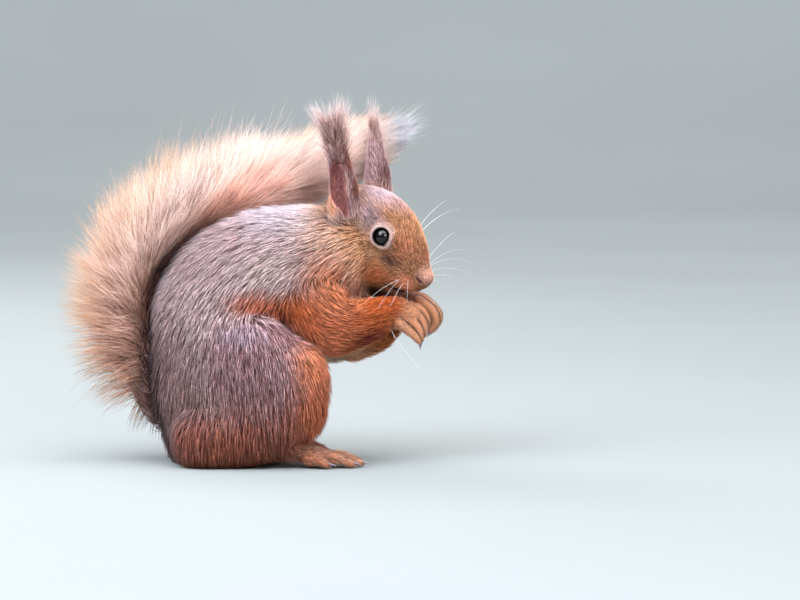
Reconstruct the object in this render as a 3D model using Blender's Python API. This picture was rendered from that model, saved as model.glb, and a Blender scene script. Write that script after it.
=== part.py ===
"""A red squirrel sitting up on its haunches, both hands at its mouth and its tail along its back.

The animal faces +X and its right side is towards -Y. The floor is z = 0 and the origin is on it,
under the rump. Every solid reaches out to the tips of the coat. Lengths are millimetres until
they reach a mesh. A section of a limb is (x, y, z, half depth, half width).
"""

from math import radians

import bmesh
import bpy
import numpy as np
from mathutils import Euler, Matrix, Vector

MM = 0.001
GAP = 0.4  # left between neighbouring solids
SPINE_STEPS = 4  # rings from one section to the next
RING_SIDES = 20

HEAD_CENTRE = (72.0, -2.0, 94.0)
HEAD_TURN = (8.0, 38.0, -20.0)  # roll, nose-down pitch and turn to the right, degrees
HEAD_PLACE = Matrix.Translation(HEAD_CENTRE) @ Euler(map(radians, HEAD_TURN)).to_matrix().to_4x4()

EYE_CENTRE = (1.3, 11.2, 7.3)  # in the head's own frame, left side
EYE_RADIUS = 4.7
EYE_OPENING_RADIUS = 5.2

LEFT_LEG_BACK = 4.5  # the left thigh lies this much further back than the right
LEFT_FOOT_BACK = 15.5

TRUNK = (
    (5.5, 0, 13, 27.5, 30),
    (0.5, 0, 33, 28.5, 33),
    (1, 0, 54.5, 29, 32),
    (4, 0, 64.5, 30.5, 31.2),
    (10.5, 0, 74.5, 29.5, 29),
    (24.5, 0, 83.5, 26, 26),
    (40, 0, 86, 22.5, 22.5),
    (51.5, -1, 88.5, 20, 19),
)
NECK = ((41, 0, 87.5, 22, 20), (50.5, -1, 91, 20.5, 18.5), (58, -2, 94, 18, 17))
CHEST = ((36.5, 0, 69.5, 20, 18), (46, 0, 64.5, 21, 19), (54, -1, 62, 17, 15))

SKULL = (
    (-19, 0, -1, 14, 14.5),
    (-12, 0, 1.2, 18.3, 16.3),
    (-4, 0, 2, 19.2, 16.5),
    (4, 0, 1, 17.2, 15),
    (12, 0, -0.6, 14.2, 11.6),
    (19, 0, -1.8, 10.4, 8.4),
    (24.5, 0, -1.6, 6.4, 5.8),
)
SNOUT_BLUNTNESS = 3.6
CHEEK = ((-7, 8.5, -8.5, 9, 7.5), (3, 7.5, -9, 8, 6.8), (11, 4.5, -7.5, 6, 5))
JAW = ((-2, 0, -12, 7.5, 8), (7, 0, -14, 7.5, 6), (15, 0, -12, 5.2, 4.4))

# Ears: the half depth is the thickness of the ear, the half width is across its face.
EAR_RIGHT = (
    (54.5, -13, 106.5, 5, 8.5),
    (54, -15, 117, 4.5, 8.7),
    (53, -16.5, 127.5, 3.8, 7.2),
    (51, -17.5, 137.5, 3, 6.2),
    (49.5, -18, 146, 2.4, 4.5),
    (48.5, -18.5, 151.5, 1.9, 3.4),
    (48.5, -18.5, 156, 0.9, 1.2),
)
EAR_LEFT = (
    (70, 10, 113, 5, 7.6),
    (69.8, 11.5, 124.5, 4.3, 6.5),
    (69, 12.5, 134, 3.4, 4.6),
    (68, 13, 145, 2.2, 2.4),
    (67, 13, 154, 1.1, 1.1),
)
EAR_RIGHT_FACES = (0.35, -1, 0)
EAR_LEFT_FACES = (0.55, 0.83, 0)
EAR_HOLLOW_OUT = 3.6  # the hollow's axis lies this far in front of the ear's
EAR_HOLLOW_DEPTH = 2.6
EAR_HOLLOW_SHARE = 0.6  # of the ear's width

UPPER_ARM_RIGHT = ((37.5, -14, 76, 15, 9), (45, -18, 66, 14, 9), (52, -19, 58, 11, 8.5))
UPPER_ARM_LEFT = ((40, 14, 74, 15, 9), (49.5, 19, 61, 13, 9), (59, 20, 51.5, 9.5, 8))
FOREARM_RIGHT = (
    (51, -19, 57.5, 11, 8.5),
    (64, -16, 61.5, 9.8, 7.5),
    (73.5, -12, 65, 7.5, 6),
    (79.5, -8.5, 67, 5.8, 5),
)
FOREARM_LEFT = (
    (59, 20, 51, 9.5, 8),
    (70, 16, 55, 8.5, 7),
    (78.5, 10, 63, 6, 5.5),
    (83, 6, 68, 5, 4.5),
)
PALM_RIGHT = ((77, -9.5, 64.5, 6.8, 4.8), (81, -8.6, 64, 6.4, 5), (84.5, -7.6, 63.5, 5, 4.6))
PALM_LEFT = ((82.5, 5.5, 68, 5.5, 4.5), (88, 4.5, 68, 5.2, 5), (91.8, 4.2, 65, 4.4, 4.8), (92.8, 4.2, 61, 3.4, 4.2))
FINGER_RADII = (2.6, 2.4, 2.0, 1.5)
# A finger is the x, z of its root, knuckle, last joint and tip; the fingers of a hand stand in
# a row across it, outermost first.
FINGERS_RIGHT = (
    ((78.5, 61), (82.8, 57.6), (86, 54.8), (87.6, 52.6)),
    ((80, 63.5), (85.2, 60.6), (88, 56.8), (88.8, 53.4)),
    ((82, 66), (87.3, 63.4), (90, 59.2), (90, 55.2)),
    ((84, 67.6), (88.8, 65.4), (91, 61.2), (90.6, 57.4)),
)
FINGERS_LEFT = (
    ((87.5, 69.5), (93, 65.5), (95, 60.5), (92.5, 56.5)),
    ((88, 70), (94.2, 66.2), (96.2, 60.8), (93.2, 56)),
    ((88, 70), (94.2, 66.2), (96.6, 61.5), (94.5, 57)),
    ((88, 69.5), (93, 66), (95.5, 62), (94.5, 58.5)),
)
FINGER_ROW_RIGHT = (-12.6, 2.3)  # y of the first finger, and from one to the next
FINGER_ROW_LEFT = (0.6, 2.7)
FINGER_CLAW = 3.0

# Hind legs: the left one, in y; the right one is its mirror image.
THIGH = ((3, 18, 48, 22, 14), (16, 24, 37.5, 27, 16), (36.5, 27, 34.5, 19, 13))
LOWER_LEG = ((34.5, 27, 25, 15, 12), (17, 27, 16, 15, 12), (-3, 24, 11, 15, 14))
HIND_FOOT = ((20, 27, 8.5, 4, 4.8), (30, 27, 8.2, 3.6, 4.4), (39, 26.8, 6, 3.6, 4.8), (46, 26, 4, 4.2, 6))
# A toe is where its root and its tip are, in x and y, inner toe first.
TOES = (
    ((41, 22.5), (51, 18), 4.2),
    ((44, 24), (59, 21.5), 4.9),
    ((45, 26), (62.5, 26), 5.3),
    ((44, 28), (59, 30.5), 4.7),
    ((40, 30), (48.5, 34), 4.0),
)
TOE_RADII = (2.8, 2.5, 1.9)
TOE_CLAW = 4.0

# Tail: half width is across the animal here, half depth away from the back.
TAIL = (
    (-19, 0, 15, 7, 8.5),
    (-28, 0, 21.5, 11, 12),
    (-38, 0, 32.5, 15, 18),
    (-45, 0, 48, 18, 22),
    (-47.5, 0, 66, 20, 24),
    (-45, 1, 84, 20.5, 25),
    (-34.5, 3, 100.5, 21.4, 25),
    (-19.4, 6, 114.2, 20.8, 24.5),
    (-2.6, 9, 120.4, 18.4, 22.5),
    (15, 13, 122.8, 15.9, 20.5),
    (32, 19, 124.8, 15.8, 18.5),
    (47.5, 25, 131.5, 13.5, 16),
    (60, 31, 136, 12.5, 14),
    (72, 35, 139.5, 10.5, 11),
    (79.5, 36, 142, 7, 7),
)

# Where a mass is divided: a point on the plane, and the way it faces.
FLOOR = ((0, 0, 0), (0, 0, 1))
THROAT = (38, 0, 74)  # where the planes that part neck, chest and trunk meet
NECK_START = (THROAT, (0.95, 0, 0.3))
NECK_UNDERSIDE = (THROAT, (0.12, 0, 1))
HEAD_START = ((53, 0, 100), (0.94, -0.1, 0.34))
CHEST_START = (THROAT, (1, 0, -0.35))
CHEST_END = ((40, 0, 43), (-0.2, 0, 1))
TAIL_CUTS = (
    ((-45.5, 0, 51), (0, 0, 1)),
    ((-31, 4, 104), (0.75, 0.1, 0.65)),
    ((38, 21, 129), (1, 0.4, 0.25)),
)

BACK_FUR = (0.33, 0.21, 0.16)
ORANGE_FUR = (0.45, 0.17, 0.05)
THIGH_FUR = (0.30, 0.14, 0.09)
TAIL_FUR = (0.62, 0.42, 0.30)
PALE_TAIL_FUR = (0.74, 0.62, 0.52)
EAR_FUR = (0.22, 0.11, 0.07)
SKIN_PINK = (0.42, 0.20, 0.14)
EYE_BLACK = (0.012, 0.008, 0.007)


def clear_scene():
    for obj in list(bpy.data.objects):
        bpy.data.objects.remove(obj)


def smooth_spine(sections, steps):
    """Catmull-Rom rows through the sections."""
    rows = np.array(sections, float)
    ends = np.vstack([2 * rows[0] - rows[1], rows, 2 * rows[-1] - rows[-2]])
    t = np.linspace(0, 1, steps, endpoint=False)[:, None]
    spans = [
        0.5 * (2 * b + (c - a) * t + (2 * a - 5 * b + 4 * c - d) * t**2 + (3 * b - 3 * c + d - a) * t**3)
        for a, b, c, d in zip(ends, ends[1:], ends[2:], ends[3:])
    ]
    return np.vstack([*spans, rows[-1:]])


def rings_of(sections, up, bluntness, steps):
    """Centres, depth axes, width axes and radii of a limb's rings, with a dome at each end."""
    rows = smooth_spine(sections, steps)
    centres, radii = rows[:, :3], rows[:, 3:]
    along = np.gradient(centres, axis=0)
    along /= np.linalg.norm(along, axis=1, keepdims=True)
    across = np.cross(up, along)
    across /= np.linalg.norm(across, axis=1, keepdims=True)
    depth = np.cross(along, across)
    found = []
    for end, way, angles in ((0, -1, (85, 60, 30)), (-1, 1, (30, 60, 85))):
        length = bluntness or radii[end].min()
        dome = []
        for angle in np.radians(angles):
            centre = centres[end] + way * length * np.sin(angle) * along[end]
            dome.append((centre, depth[end], across[end], radii[end] * np.cos(angle)))
        found.append(dome)
    return found[0] + list(zip(centres, depth, across, radii)) + found[1]


def add_limb(bm, sections, up=(0, 0, 1), bluntness=None, sides=RING_SIDES, steps=SPINE_STEPS):
    """One closed form: elliptical rings along a smooth spine."""
    angles = np.linspace(0, 2 * np.pi, sides, endpoint=False)
    rings = []
    for centre, depth, across, (tall, wide) in rings_of(sections, up, bluntness, steps):
        around = np.outer(np.cos(angles) * tall, depth) + np.outer(np.sin(angles) * wide, across)
        rings.append([bm.verts.new((centre + offset) * MM) for offset in around])
    for ring, after in zip(rings, rings[1:]):
        for i in range(sides):
            j = (i + 1) % sides
            bm.faces.new((ring[i], ring[j], after[j], after[i]))
    bm.faces.new(rings[0][::-1])
    bm.faces.new(rings[-1])


def make_ball(name, centre, radius):
    bm = bmesh.new()
    place = Matrix.Translation(Vector(centre) * MM)
    bmesh.ops.create_icosphere(bm, subdivisions=2, radius=radius * MM, matrix=place)
    return mesh_of(bm, name)


def mesh_of(bm, name):
    mesh = bpy.data.meshes.new(name)
    bmesh.ops.recalc_face_normals(bm, faces=bm.faces)
    bm.to_mesh(mesh)
    bm.free()
    return mesh


def evaluated(mesh, name, add_modifiers):
    """The mesh after modifiers."""
    obj = bpy.data.objects.new(name, mesh)
    bpy.context.scene.collection.objects.link(obj)
    add_modifiers(obj)
    bpy.context.view_layer.update()
    made = bpy.data.meshes.new_from_object(obj.evaluated_get(bpy.context.evaluated_depsgraph_get()))
    bpy.data.objects.remove(obj)
    return made


def fused(bm, name, voxel, triangles, smoothing=6):
    """The forms of bm made one surface, smoothed, with about this many triangles."""

    def fuse(obj):
        remesh = obj.modifiers.new("fuse", "REMESH")
        remesh.mode = "VOXEL"
        remesh.voxel_size = voxel * MM
        smooth = obj.modifiers.new("smooth", "SMOOTH")
        smooth.iterations = smoothing

    def thin_out(obj):
        decimate = obj.modifiers.new("thin", "DECIMATE")
        decimate.ratio = triangles / (2 * len(obj.data.polygons))

    fine = evaluated(mesh_of(bm, name), name, fuse)
    return evaluated(fine, name, thin_out)


def sliced(mesh, *planes):
    """A copy of the mesh on the front side of each plane, its cuts filled."""
    bm = bmesh.new()
    bm.from_mesh(mesh)
    for point, normal in planes:
        cut = bmesh.ops.bisect_plane(
            bm,
            geom=bm.verts[:] + bm.edges[:] + bm.faces[:],
            plane_co=Vector(point) * MM,
            plane_no=Vector(normal),
            clear_inner=True,
        )
        edges = [item for item in cut["geom_cut"] if isinstance(item, bmesh.types.BMEdge)]
        bmesh.ops.holes_fill(bm, edges=edges)
    bmesh.ops.triangulate(bm, faces=bm.faces)
    return mesh_of(bm, mesh.name)


def ahead(plane):
    """The plane moved forward by half the gap."""
    point, normal = Vector(plane[0]), Vector(plane[1]).normalized()
    return point + normal * GAP / 2, normal


def behind(plane):
    """The plane moved back by half the gap, facing back."""
    point, normal = Vector(plane[0]), Vector(plane[1]).normalized()
    return point - normal * GAP / 2, -normal


def largest_piece(mesh):
    """The mesh without the crumbs that a cut leaves beside its main piece."""
    bm = bmesh.new()
    bm.from_mesh(mesh)
    bmesh.ops.remove_doubles(bm, verts=bm.verts, dist=0.002 * MM)
    waiting = set(bm.faces)
    pieces = []
    while waiting:
        edge_of_piece = [waiting.pop()]
        piece = set(edge_of_piece)
        while edge_of_piece:
            face = edge_of_piece.pop()
            near = {other for edge in face.edges for other in edge.link_faces} - piece
            piece |= near
            edge_of_piece += near
        waiting -= piece
        pieces.append(piece)
    pieces.sort(key=lambda piece: sum(face.calc_area() for face in piece))
    crumbs = [face for piece in pieces[:-1] for face in piece]
    bmesh.ops.delete(bm, geom=crumbs, context="FACES")
    bmesh.ops.triangulate(bm, faces=bm.faces)
    return mesh_of(bm, mesh.name)


def carved(mesh, cutter_mesh):
    """The mesh with room cut in it for its neighbour and the gap between them."""
    cutter = bpy.data.objects.new("room", cutter_mesh)
    cutter.hide_render = True
    bpy.context.scene.collection.objects.link(cutter)
    grow = cutter.modifiers.new("gap", "DISPLACE")
    grow.strength = GAP * MM
    grow.mid_level = 0

    def cut(obj):
        room = obj.modifiers.new("room", "BOOLEAN")
        room.operation = "DIFFERENCE"
        room.object = cutter

    made = largest_piece(evaluated(mesh, mesh.name, cut))
    bpy.data.objects.remove(cutter)
    return made


def in_head(point):
    return tuple(HEAD_PLACE @ Vector(point))


def head_sections(sections, side=1):
    """Sections from the head's own frame, mirrored to the right where side is -1."""
    return [(*in_head((x, side * y, z)), tall, wide) for x, y, z, tall, wide in sections]


def mirrored(sections, side, back=0.0):
    return [(x - back, side * y, *rest) for x, y, *rest in sections]


def make_torso():
    bm = bmesh.new()
    add_limb(bm, TRUNK, up=(-1, 0, 0.2))
    add_limb(bm, NECK, up=(-0.3, 0, 1))
    add_limb(bm, CHEST)
    return fused(bm, "torso", voxel=1.8, triangles=740)


def make_head():
    bm = bmesh.new()
    up = HEAD_PLACE.to_3x3() @ Vector((0, 0, 1))
    add_limb(bm, head_sections(SKULL), up, bluntness=SNOUT_BLUNTNESS)
    add_limb(bm, head_sections(CHEEK, 1), up)
    add_limb(bm, head_sections(CHEEK, -1), up)
    add_limb(bm, head_sections(JAW), up)
    return fused(bm, "head", voxel=0.9, triangles=760, smoothing=4)


def make_eye(side, radius):
    x, y, z = EYE_CENTRE
    return make_ball("eye", in_head((x, side * y, z)), radius)


def make_ear(sections, faces):
    bm = bmesh.new()
    add_limb(bm, sections, faces)
    ear = fused(bm, "ear", voxel=0.7, triangles=180, smoothing=2)
    out = np.array(faces) / np.linalg.norm(faces) * EAR_HOLLOW_OUT
    hollow = [
        (*(np.array(place) + out), EAR_HOLLOW_DEPTH, wide * EAR_HOLLOW_SHARE)
        for *place, tall, wide in sections[1:-2]
    ]
    cutter = bmesh.new()
    add_limb(cutter, hollow, faces, sides=8, steps=1)
    return carved(ear, mesh_of(cutter, "hollow"))


def make_limb(name, sections, triangles, up=(0, 0, 1), voxel=1.2):
    bm = bmesh.new()
    add_limb(bm, sections, up)
    return fused(bm, name, voxel=voxel, triangles=triangles, smoothing=3)


def make_hand(palm, fingers, row):
    bm = bmesh.new()
    add_limb(bm, palm)
    first, step = row
    for i, joints in enumerate(fingers):
        y = first + step * i
        finger = [(x, y, z, r, r * 0.92) for (x, z), r in zip(joints, FINGER_RADII)]
        add_limb(bm, finger, up=(0, 1, 0), sides=10)
        (x0, z0), (x1, z1) = joints[-2:]
        claw = [(x1, y, z1, 0.8, 0.8), (x1 - 0.8, y, z1 - FINGER_CLAW, 0.45, 0.45)]
        add_limb(bm, claw, up=(0, 1, 0), sides=8)
    return fused(bm, "hand", voxel=0.45, triangles=410, smoothing=1)


def make_foot(side, back):
    bm = bmesh.new()
    add_limb(bm, mirrored(HIND_FOOT, side, back))
    for (root_x, root_y), (tip_x, tip_y), arch in TOES:
        middle_x, middle_y = (root_x + tip_x) / 2, (root_y + tip_y) / 2
        toe = (
            (root_x, root_y, 3.8, TOE_RADII[0], TOE_RADII[0]),
            (middle_x, middle_y, arch, TOE_RADII[1], TOE_RADII[1]),
            (tip_x, tip_y, 1.9, TOE_RADII[2], TOE_RADII[2]),
        )
        add_limb(bm, mirrored(toe, side, back), sides=10)
        claw = (
            (tip_x, tip_y, 2.4, 0.9, 0.8),
            (tip_x + TOE_CLAW / 2, tip_y, 2.6, 0.8, 0.6),
            (tip_x + TOE_CLAW, tip_y, 1.0, 0.5, 0.45),
        )
        add_limb(bm, mirrored(claw, side, back), sides=8)
    return sliced(fused(bm, "foot", voxel=0.5, triangles=390, smoothing=1), FLOOR)


def make_tail():
    bm = bmesh.new()
    rows = [(*place, wide, deep) for *place, deep, wide in TAIL]
    add_limb(bm, rows, up=(0, 1, 0))
    return fused(bm, "tail", voxel=1.8, triangles=820)


def fur(name, colour, roughness=0.9):
    material = bpy.data.materials.new(name)
    material.use_nodes = True
    shader = material.node_tree.nodes["Principled BSDF"]
    shader.inputs["Base Color"].default_value = (*colour, 1)
    shader.inputs["Roughness"].default_value = roughness
    return material


def add_part(name, mesh, material, root):
    mesh.materials.clear()
    mesh.materials.append(material)
    obj = bpy.data.objects.new(name, mesh)
    obj.parent = root
    bpy.context.scene.collection.objects.link(obj)
    mesh.shade_smooth()
    mesh.set_sharp_from_angle(angle=radians(45))


def carved_by(mesh, *cutters):
    """The mesh with room cut for each of these solids in turn."""
    for cutter in cutters:
        mesh = carved(mesh, cutter)
    return mesh


def make_shapes():
    """Each solid by name, cut so that no two overlap."""
    shapes = {}
    head = sliced(make_head(), ahead(HEAD_START))
    torso = make_torso()
    tail = make_tail()
    eyes = {}
    for name, side, leg_back, foot_back in (
        ("right", -1, 0, 0),
        ("left", 1, LEFT_LEG_BACK, LEFT_FOOT_BACK),
    ):
        right = side < 0
        shapes["eye_" + name] = make_eye(side, EYE_RADIUS)
        eyes[name] = make_eye(side, EYE_OPENING_RADIUS)
        ear = make_ear(EAR_RIGHT if right else EAR_LEFT, EAR_RIGHT_FACES if right else EAR_LEFT_FACES)
        shapes["ear_" + name] = carved_by(ear, head, torso) if right else carved_by(ear, head)
        if right:
            hand = make_hand(PALM_RIGHT, FINGERS_RIGHT, FINGER_ROW_RIGHT)
            shapes["hand_right"] = carved_by(hand, head)
        else:
            hand = make_hand(PALM_LEFT, FINGERS_LEFT, FINGER_ROW_LEFT)
            shapes["hand_left"] = carved_by(hand, head, shapes["hand_right"])
        forearm = make_limb("forearm", FOREARM_RIGHT if right else FOREARM_LEFT, 140)
        shapes["forearm_" + name] = carved_by(forearm, hand, head)
        foot = make_foot(side, foot_back)
        shapes["hind_foot_" + name] = foot
        thigh = make_limb("thigh", mirrored(THIGH, side, leg_back), 180, (-0.3, 0, 1), voxel=1.5)
        shapes["thigh_" + name] = carved_by(thigh, foot)
        upper = make_limb("upper_arm", UPPER_ARM_RIGHT if right else UPPER_ARM_LEFT, 110, (1, 0, 0.5))
        shapes["upper_arm_" + name] = carved_by(upper, forearm, thigh)
        lower = make_limb("lower_leg", mirrored(LOWER_LEG, side, leg_back), 120, voxel=1.5)
        shapes["lower_leg_" + name] = carved_by(sliced(lower, FLOOR), foot, thigh)

    limbs = dict(shapes)
    shapes["head"] = carved_by(head, eyes["right"], eyes["left"])
    arms = [limbs[part + side] for side in ("right", "left") for part in ("upper_arm_", "forearm_")]
    thighs = [limbs["thigh_right"], limbs["thigh_left"]]
    shins = [limbs["lower_leg_right"], limbs["lower_leg_left"]]
    feet = [limbs["hind_foot_right"], limbs["hind_foot_left"]]
    neck = sliced(torso, ahead(NECK_START), ahead(NECK_UNDERSIDE), behind(HEAD_START))
    chest = sliced(torso, behind(NECK_UNDERSIDE), ahead(CHEST_START), ahead(CHEST_END))
    belly = sliced(torso, FLOOR, ahead(CHEST_START), behind(CHEST_END))
    trunk = sliced(torso, FLOOR, behind(NECK_START), behind(CHEST_START))
    shapes["neck"] = carved_by(neck, *arms)
    shapes["chest"] = carved_by(chest, head, *arms, *thighs)
    shapes["belly"] = carved_by(belly, *thighs, *shins, *feet)
    shapes["trunk"] = carved_by(trunk, arms[0], arms[2], *thighs, *shins, *feet)

    first_cut, middle_cut, last_cut = TAIL_CUTS
    shapes["tail_base"] = carved_by(sliced(tail, behind(first_cut)), torso)
    shapes["tail_lower"] = carved_by(sliced(tail, ahead(first_cut), behind(middle_cut)), torso)
    shapes["tail_upper"] = carved_by(sliced(tail, ahead(middle_cut), behind(last_cut)), torso)
    shapes["tail_tip"] = sliced(tail, ahead(last_cut))
    return shapes


def make_materials():
    """Each solid's material, by the first word or two of its name."""
    orange = fur("orange_fur", ORANGE_FUR)
    back = fur("back_fur", BACK_FUR)
    skin = fur("bare_skin", SKIN_PINK, roughness=0.7)
    tail = fur("tail_fur", TAIL_FUR)
    pale_tail = fur("pale_tail_fur", PALE_TAIL_FUR)
    return {
        "head": orange,
        "chest": orange,
        "belly": orange,
        "forearm": orange,
        "hind_foot": orange,
        "lower_leg": orange,
        "thigh": fur("thigh_fur", THIGH_FUR),
        "trunk": back,
        "neck": back,
        "upper_arm": back,
        "hand": skin,
        "ear": fur("ear_fur", EAR_FUR),
        "eye": fur("eye", EYE_BLACK, roughness=0.08),
        "tail_base": tail,
        "tail_lower": tail,
        "tail_upper": pale_tail,
        "tail_tip": pale_tail,
    }


def build():
    clear_scene()
    root = bpy.data.objects.new("squirrel", None)
    bpy.context.scene.collection.objects.link(root)
    materials = make_materials()
    for name, shape in make_shapes().items():
        kind = name.removesuffix("_right").removesuffix("_left")
        add_part(name, shape, materials[kind], root)


build()
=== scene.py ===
"""The red squirrel's looks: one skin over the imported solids, its coat of tufts, eyes, claws and
whiskers, and a plain studio. Lengths are millimetres until they reach a mesh; the animal faces
+X with its right side towards -Y and the floor at z = 0."""

import bpy
import numpy as np
from mathutils import Euler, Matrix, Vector, kdtree
from mathutils.bvhtree import BVHTree


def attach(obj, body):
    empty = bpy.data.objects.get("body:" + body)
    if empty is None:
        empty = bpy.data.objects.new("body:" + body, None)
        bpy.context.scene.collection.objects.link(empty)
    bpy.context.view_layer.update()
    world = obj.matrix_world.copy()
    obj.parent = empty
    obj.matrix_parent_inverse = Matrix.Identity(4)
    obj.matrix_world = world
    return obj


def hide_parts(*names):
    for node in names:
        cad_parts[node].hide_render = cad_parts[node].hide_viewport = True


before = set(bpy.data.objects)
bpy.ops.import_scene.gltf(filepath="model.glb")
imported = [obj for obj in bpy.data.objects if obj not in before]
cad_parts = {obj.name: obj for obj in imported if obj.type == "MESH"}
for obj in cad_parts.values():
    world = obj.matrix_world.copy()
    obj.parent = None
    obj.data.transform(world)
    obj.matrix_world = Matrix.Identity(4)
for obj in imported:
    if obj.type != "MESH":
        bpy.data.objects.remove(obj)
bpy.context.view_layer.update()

MM = 0.001
FAR = 60.0  # stands for any distance too great to matter
REACH = 7  # how far outside a form its distance is worked out
THINNEST = 0.35  # the least half width that a coat's depth leaves
SIDES = ((-1, "right"), (1, "left"))  # the sign that Y has on each side
rng = np.random.default_rng(7)


def unit(vectors, least=0.0):
    """The vectors at a length of one. A least length above 0 lets a vector be nothing."""
    return vectors / (np.linalg.norm(vectors, axis=-1, keepdims=True) + least)


def soft_step(x):
    """0 up to x = 0, 1 from x = 1, and a smooth rise between."""
    x = np.clip(x, 0, 1)
    return x * x * (3 - 2 * x)


# ---- the body's forms

HEAD_CENTRE = np.array((72.0, -2.0, 94.0))
HEAD_TURN = Euler(np.radians((8.0, 38.0, -20.0))).to_matrix()
HEAD_AXES = np.array(HEAD_TURN)  # columns: forward, left and up of the head
HEAD_UP = HEAD_AXES[:, 2]


def in_head(point):
    """The place in the body's frame of a point given in the head's."""
    return HEAD_CENTRE + HEAD_AXES @ np.array(point, float)


def to_head(points):
    return (points - HEAD_CENTRE) @ HEAD_AXES


def head_sections(sections, side=1):
    return [(*in_head((x, side * y, z)), tall, wide) for x, y, z, tall, wide in sections]


def mirrored(sections, side, back=0.0):
    return [(x - back, side * y, *rest) for x, y, *rest in sections]


def smooth_spine(sections, steps):
    """Catmull-Rom rows through the sections."""
    rows = np.array(sections, float)
    ends = np.vstack([2 * rows[0] - rows[1], rows, 2 * rows[-1] - rows[-2]])
    t = np.linspace(0, 1, steps, endpoint=False)[:, None]
    spans = [
        0.5 * (2 * b + (c - a) * t + (2 * a - 5 * b + 4 * c - d) * t**2 + (3 * b - 3 * c + d - a) * t**3)
        for a, b, c, d in zip(ends, ends[1:], ends[2:], ends[3:])
    ]
    return np.vstack([*spans, rows[-1:]])


class Form:
    """A soft limb: elliptical sections (x, y, z, half depth, half width) along a smooth spine.
    Coat is the depth of hair over it, blend is how widely it melts into its neighbours, and end
    is how far it bulges past its first and last sections."""

    def __init__(self, name, sections, up=(0, 0, 1), coat=0.0, blend=3.0, end=None, steps=3, hair=None):
        rows = smooth_spine(sections, steps)
        self.name, self.blend, self.end, self.hair = name, blend, end, hair
        self.centre = rows[:, :3]
        self.radii = np.maximum(rows[:, 3:] - coat, THINNEST)
        self.along = unit(np.gradient(self.centre, axis=0))
        self.across = unit(np.cross(up, self.along))
        self.depth = np.cross(self.along, self.across)
        reach = self.radii.max(axis=1, keepdims=True) + REACH
        self.low = np.minimum(self.centre - reach, np.roll(self.centre - reach, -1, axis=0))[:-1]
        self.high = np.maximum(self.centre + reach, np.roll(self.centre + reach, -1, axis=0))[:-1]

    def segment(self, k, p):
        """Distance from one length of the spine's tube, about in millimetres."""
        step = self.centre[k + 1] - self.centre[k]
        length = np.linalg.norm(step)
        raw = (p - self.centre[k]) @ step / length**2
        h = np.clip(raw, 0, 1)
        beyond = (raw - h) * length
        off = p - self.centre[k] - raw[..., None] * step

        def between(values):
            return values[k] + h[..., None] * (values[k + 1] - values[k])

        tall, wide = np.moveaxis(between(self.radii), -1, 0)
        end = np.minimum(tall, wide)
        if self.end and k == 0:
            end = np.where(raw < 0, self.end, end)
        if self.end and k == len(self.low) - 1:
            end = np.where(raw > 1, self.end, end)
        u = (off * between(self.depth)).sum(-1)
        v = (off * between(self.across)).sum(-1)
        scaled = np.sqrt((u / tall) ** 2 + (v / wide) ** 2 + (beyond / end) ** 2) + 1e-9
        slope = np.sqrt((u / tall**2) ** 2 + (v / wide**2) ** 2 + (beyond / end**2) ** 2) + 1e-9
        return scaled * (scaled - 1) / slope

    def distance(self, points):
        """Distance from the whole limb, and FAR where that is out of reach."""
        found = np.full(len(points), FAR)
        for k in range(len(self.low)):
            near = np.flatnonzero(((points > self.low[k]) & (points < self.high[k])).all(axis=1))
            if len(near):
                found[near] = np.minimum(found[near], self.segment(k, points[near]))
        return found

    def place(self, points):
        """Each point's nearest row of the spine, its place along it and its angle round it."""
        row = ((points[:, None, :] - self.centre[None, :, :]) ** 2).sum(-1).argmin(axis=1)
        off = points - self.centre[row]
        spacing = np.linalg.norm(np.gradient(self.centre, axis=0), axis=1)[row]
        along = row + (off * self.along[row]).sum(1) / spacing
        angle = np.arctan2((off * self.across[row]).sum(1), (off * self.depth[row]).sum(1))
        return row, along, angle


def linear(*srgb):
    """A linear colour from eight-bit sRGB numbers."""
    c = np.array(srgb) / 255
    return np.where(c < 0.04045, c / 12.92, ((c + 0.055) / 1.055) ** 2.4)


def shade_row(*shades):
    """Linear colours of a hair from root to tip."""
    return np.array([linear(*shade) for shade in shades])


class Hair:
    """A form's coat: length, width, how far it stands off the skin, tufts to the square
    millimetre, its colour and that of its tips, and the way it lies: along the spine's order (1)
    or against it (-1), and downwards."""

    def __init__(self, group, length, width, rise, density, colour, tip, along=0.0, down=0.0):
        self.values = np.array((length, width, rise, density))
        self.colour, self.tip = linear(*colour), linear(*tip)
        self.along, self.down, self.group = along, down, group


BACK = Hair("back", 7.8, 0.27, 3.2, 2.0, (208, 166, 164), (255, 236, 240), along=-1, down=0.35)
NECK_HAIR = Hair("neck", 6.4, 0.23, 2.9, 2.9, (255, 166, 96), (255, 226, 184), along=-1, down=0.2)
CHEST_HAIR = Hair("chest", 9.0, 0.26, 3.6, 2.4, (236, 156, 84), (250, 210, 164), along=0.3, down=1)
THIGH_HAIR = Hair("thigh", 7.8, 0.28, 3.1, 2.0, (158, 102, 100), (232, 192, 202), along=0.2, down=1)
SHIN_HAIR = Hair("thigh", 9.6, 0.28, 3.1, 2.1, (152, 80, 62), (218, 154, 136), down=1)
UPPER_ARM_HAIR = Hair("arm", 6.4, 0.25, 2.5, 2.5, (176, 88, 58), (230, 158, 130), along=1)
FOREARM_HAIR = Hair("arm", 4.2, 0.23, 1.7, 3.0, (200, 88, 32), (230, 138, 80), along=1)
PAW_HAIR = Hair("paw", 3.0, 0.18, 1.1, 5.0, (228, 146, 102), (255, 222, 194), along=1)
FINGER_HAIR = Hair("paw", 2.0, 0.15, 0.55, 6.0, (230, 150, 106), (255, 224, 196), along=1)
HEAD_HAIR = Hair("head", 2.9, 0.17, 1.1, 8.5, (162, 99, 62), (204, 148, 108), along=-1)
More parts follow.
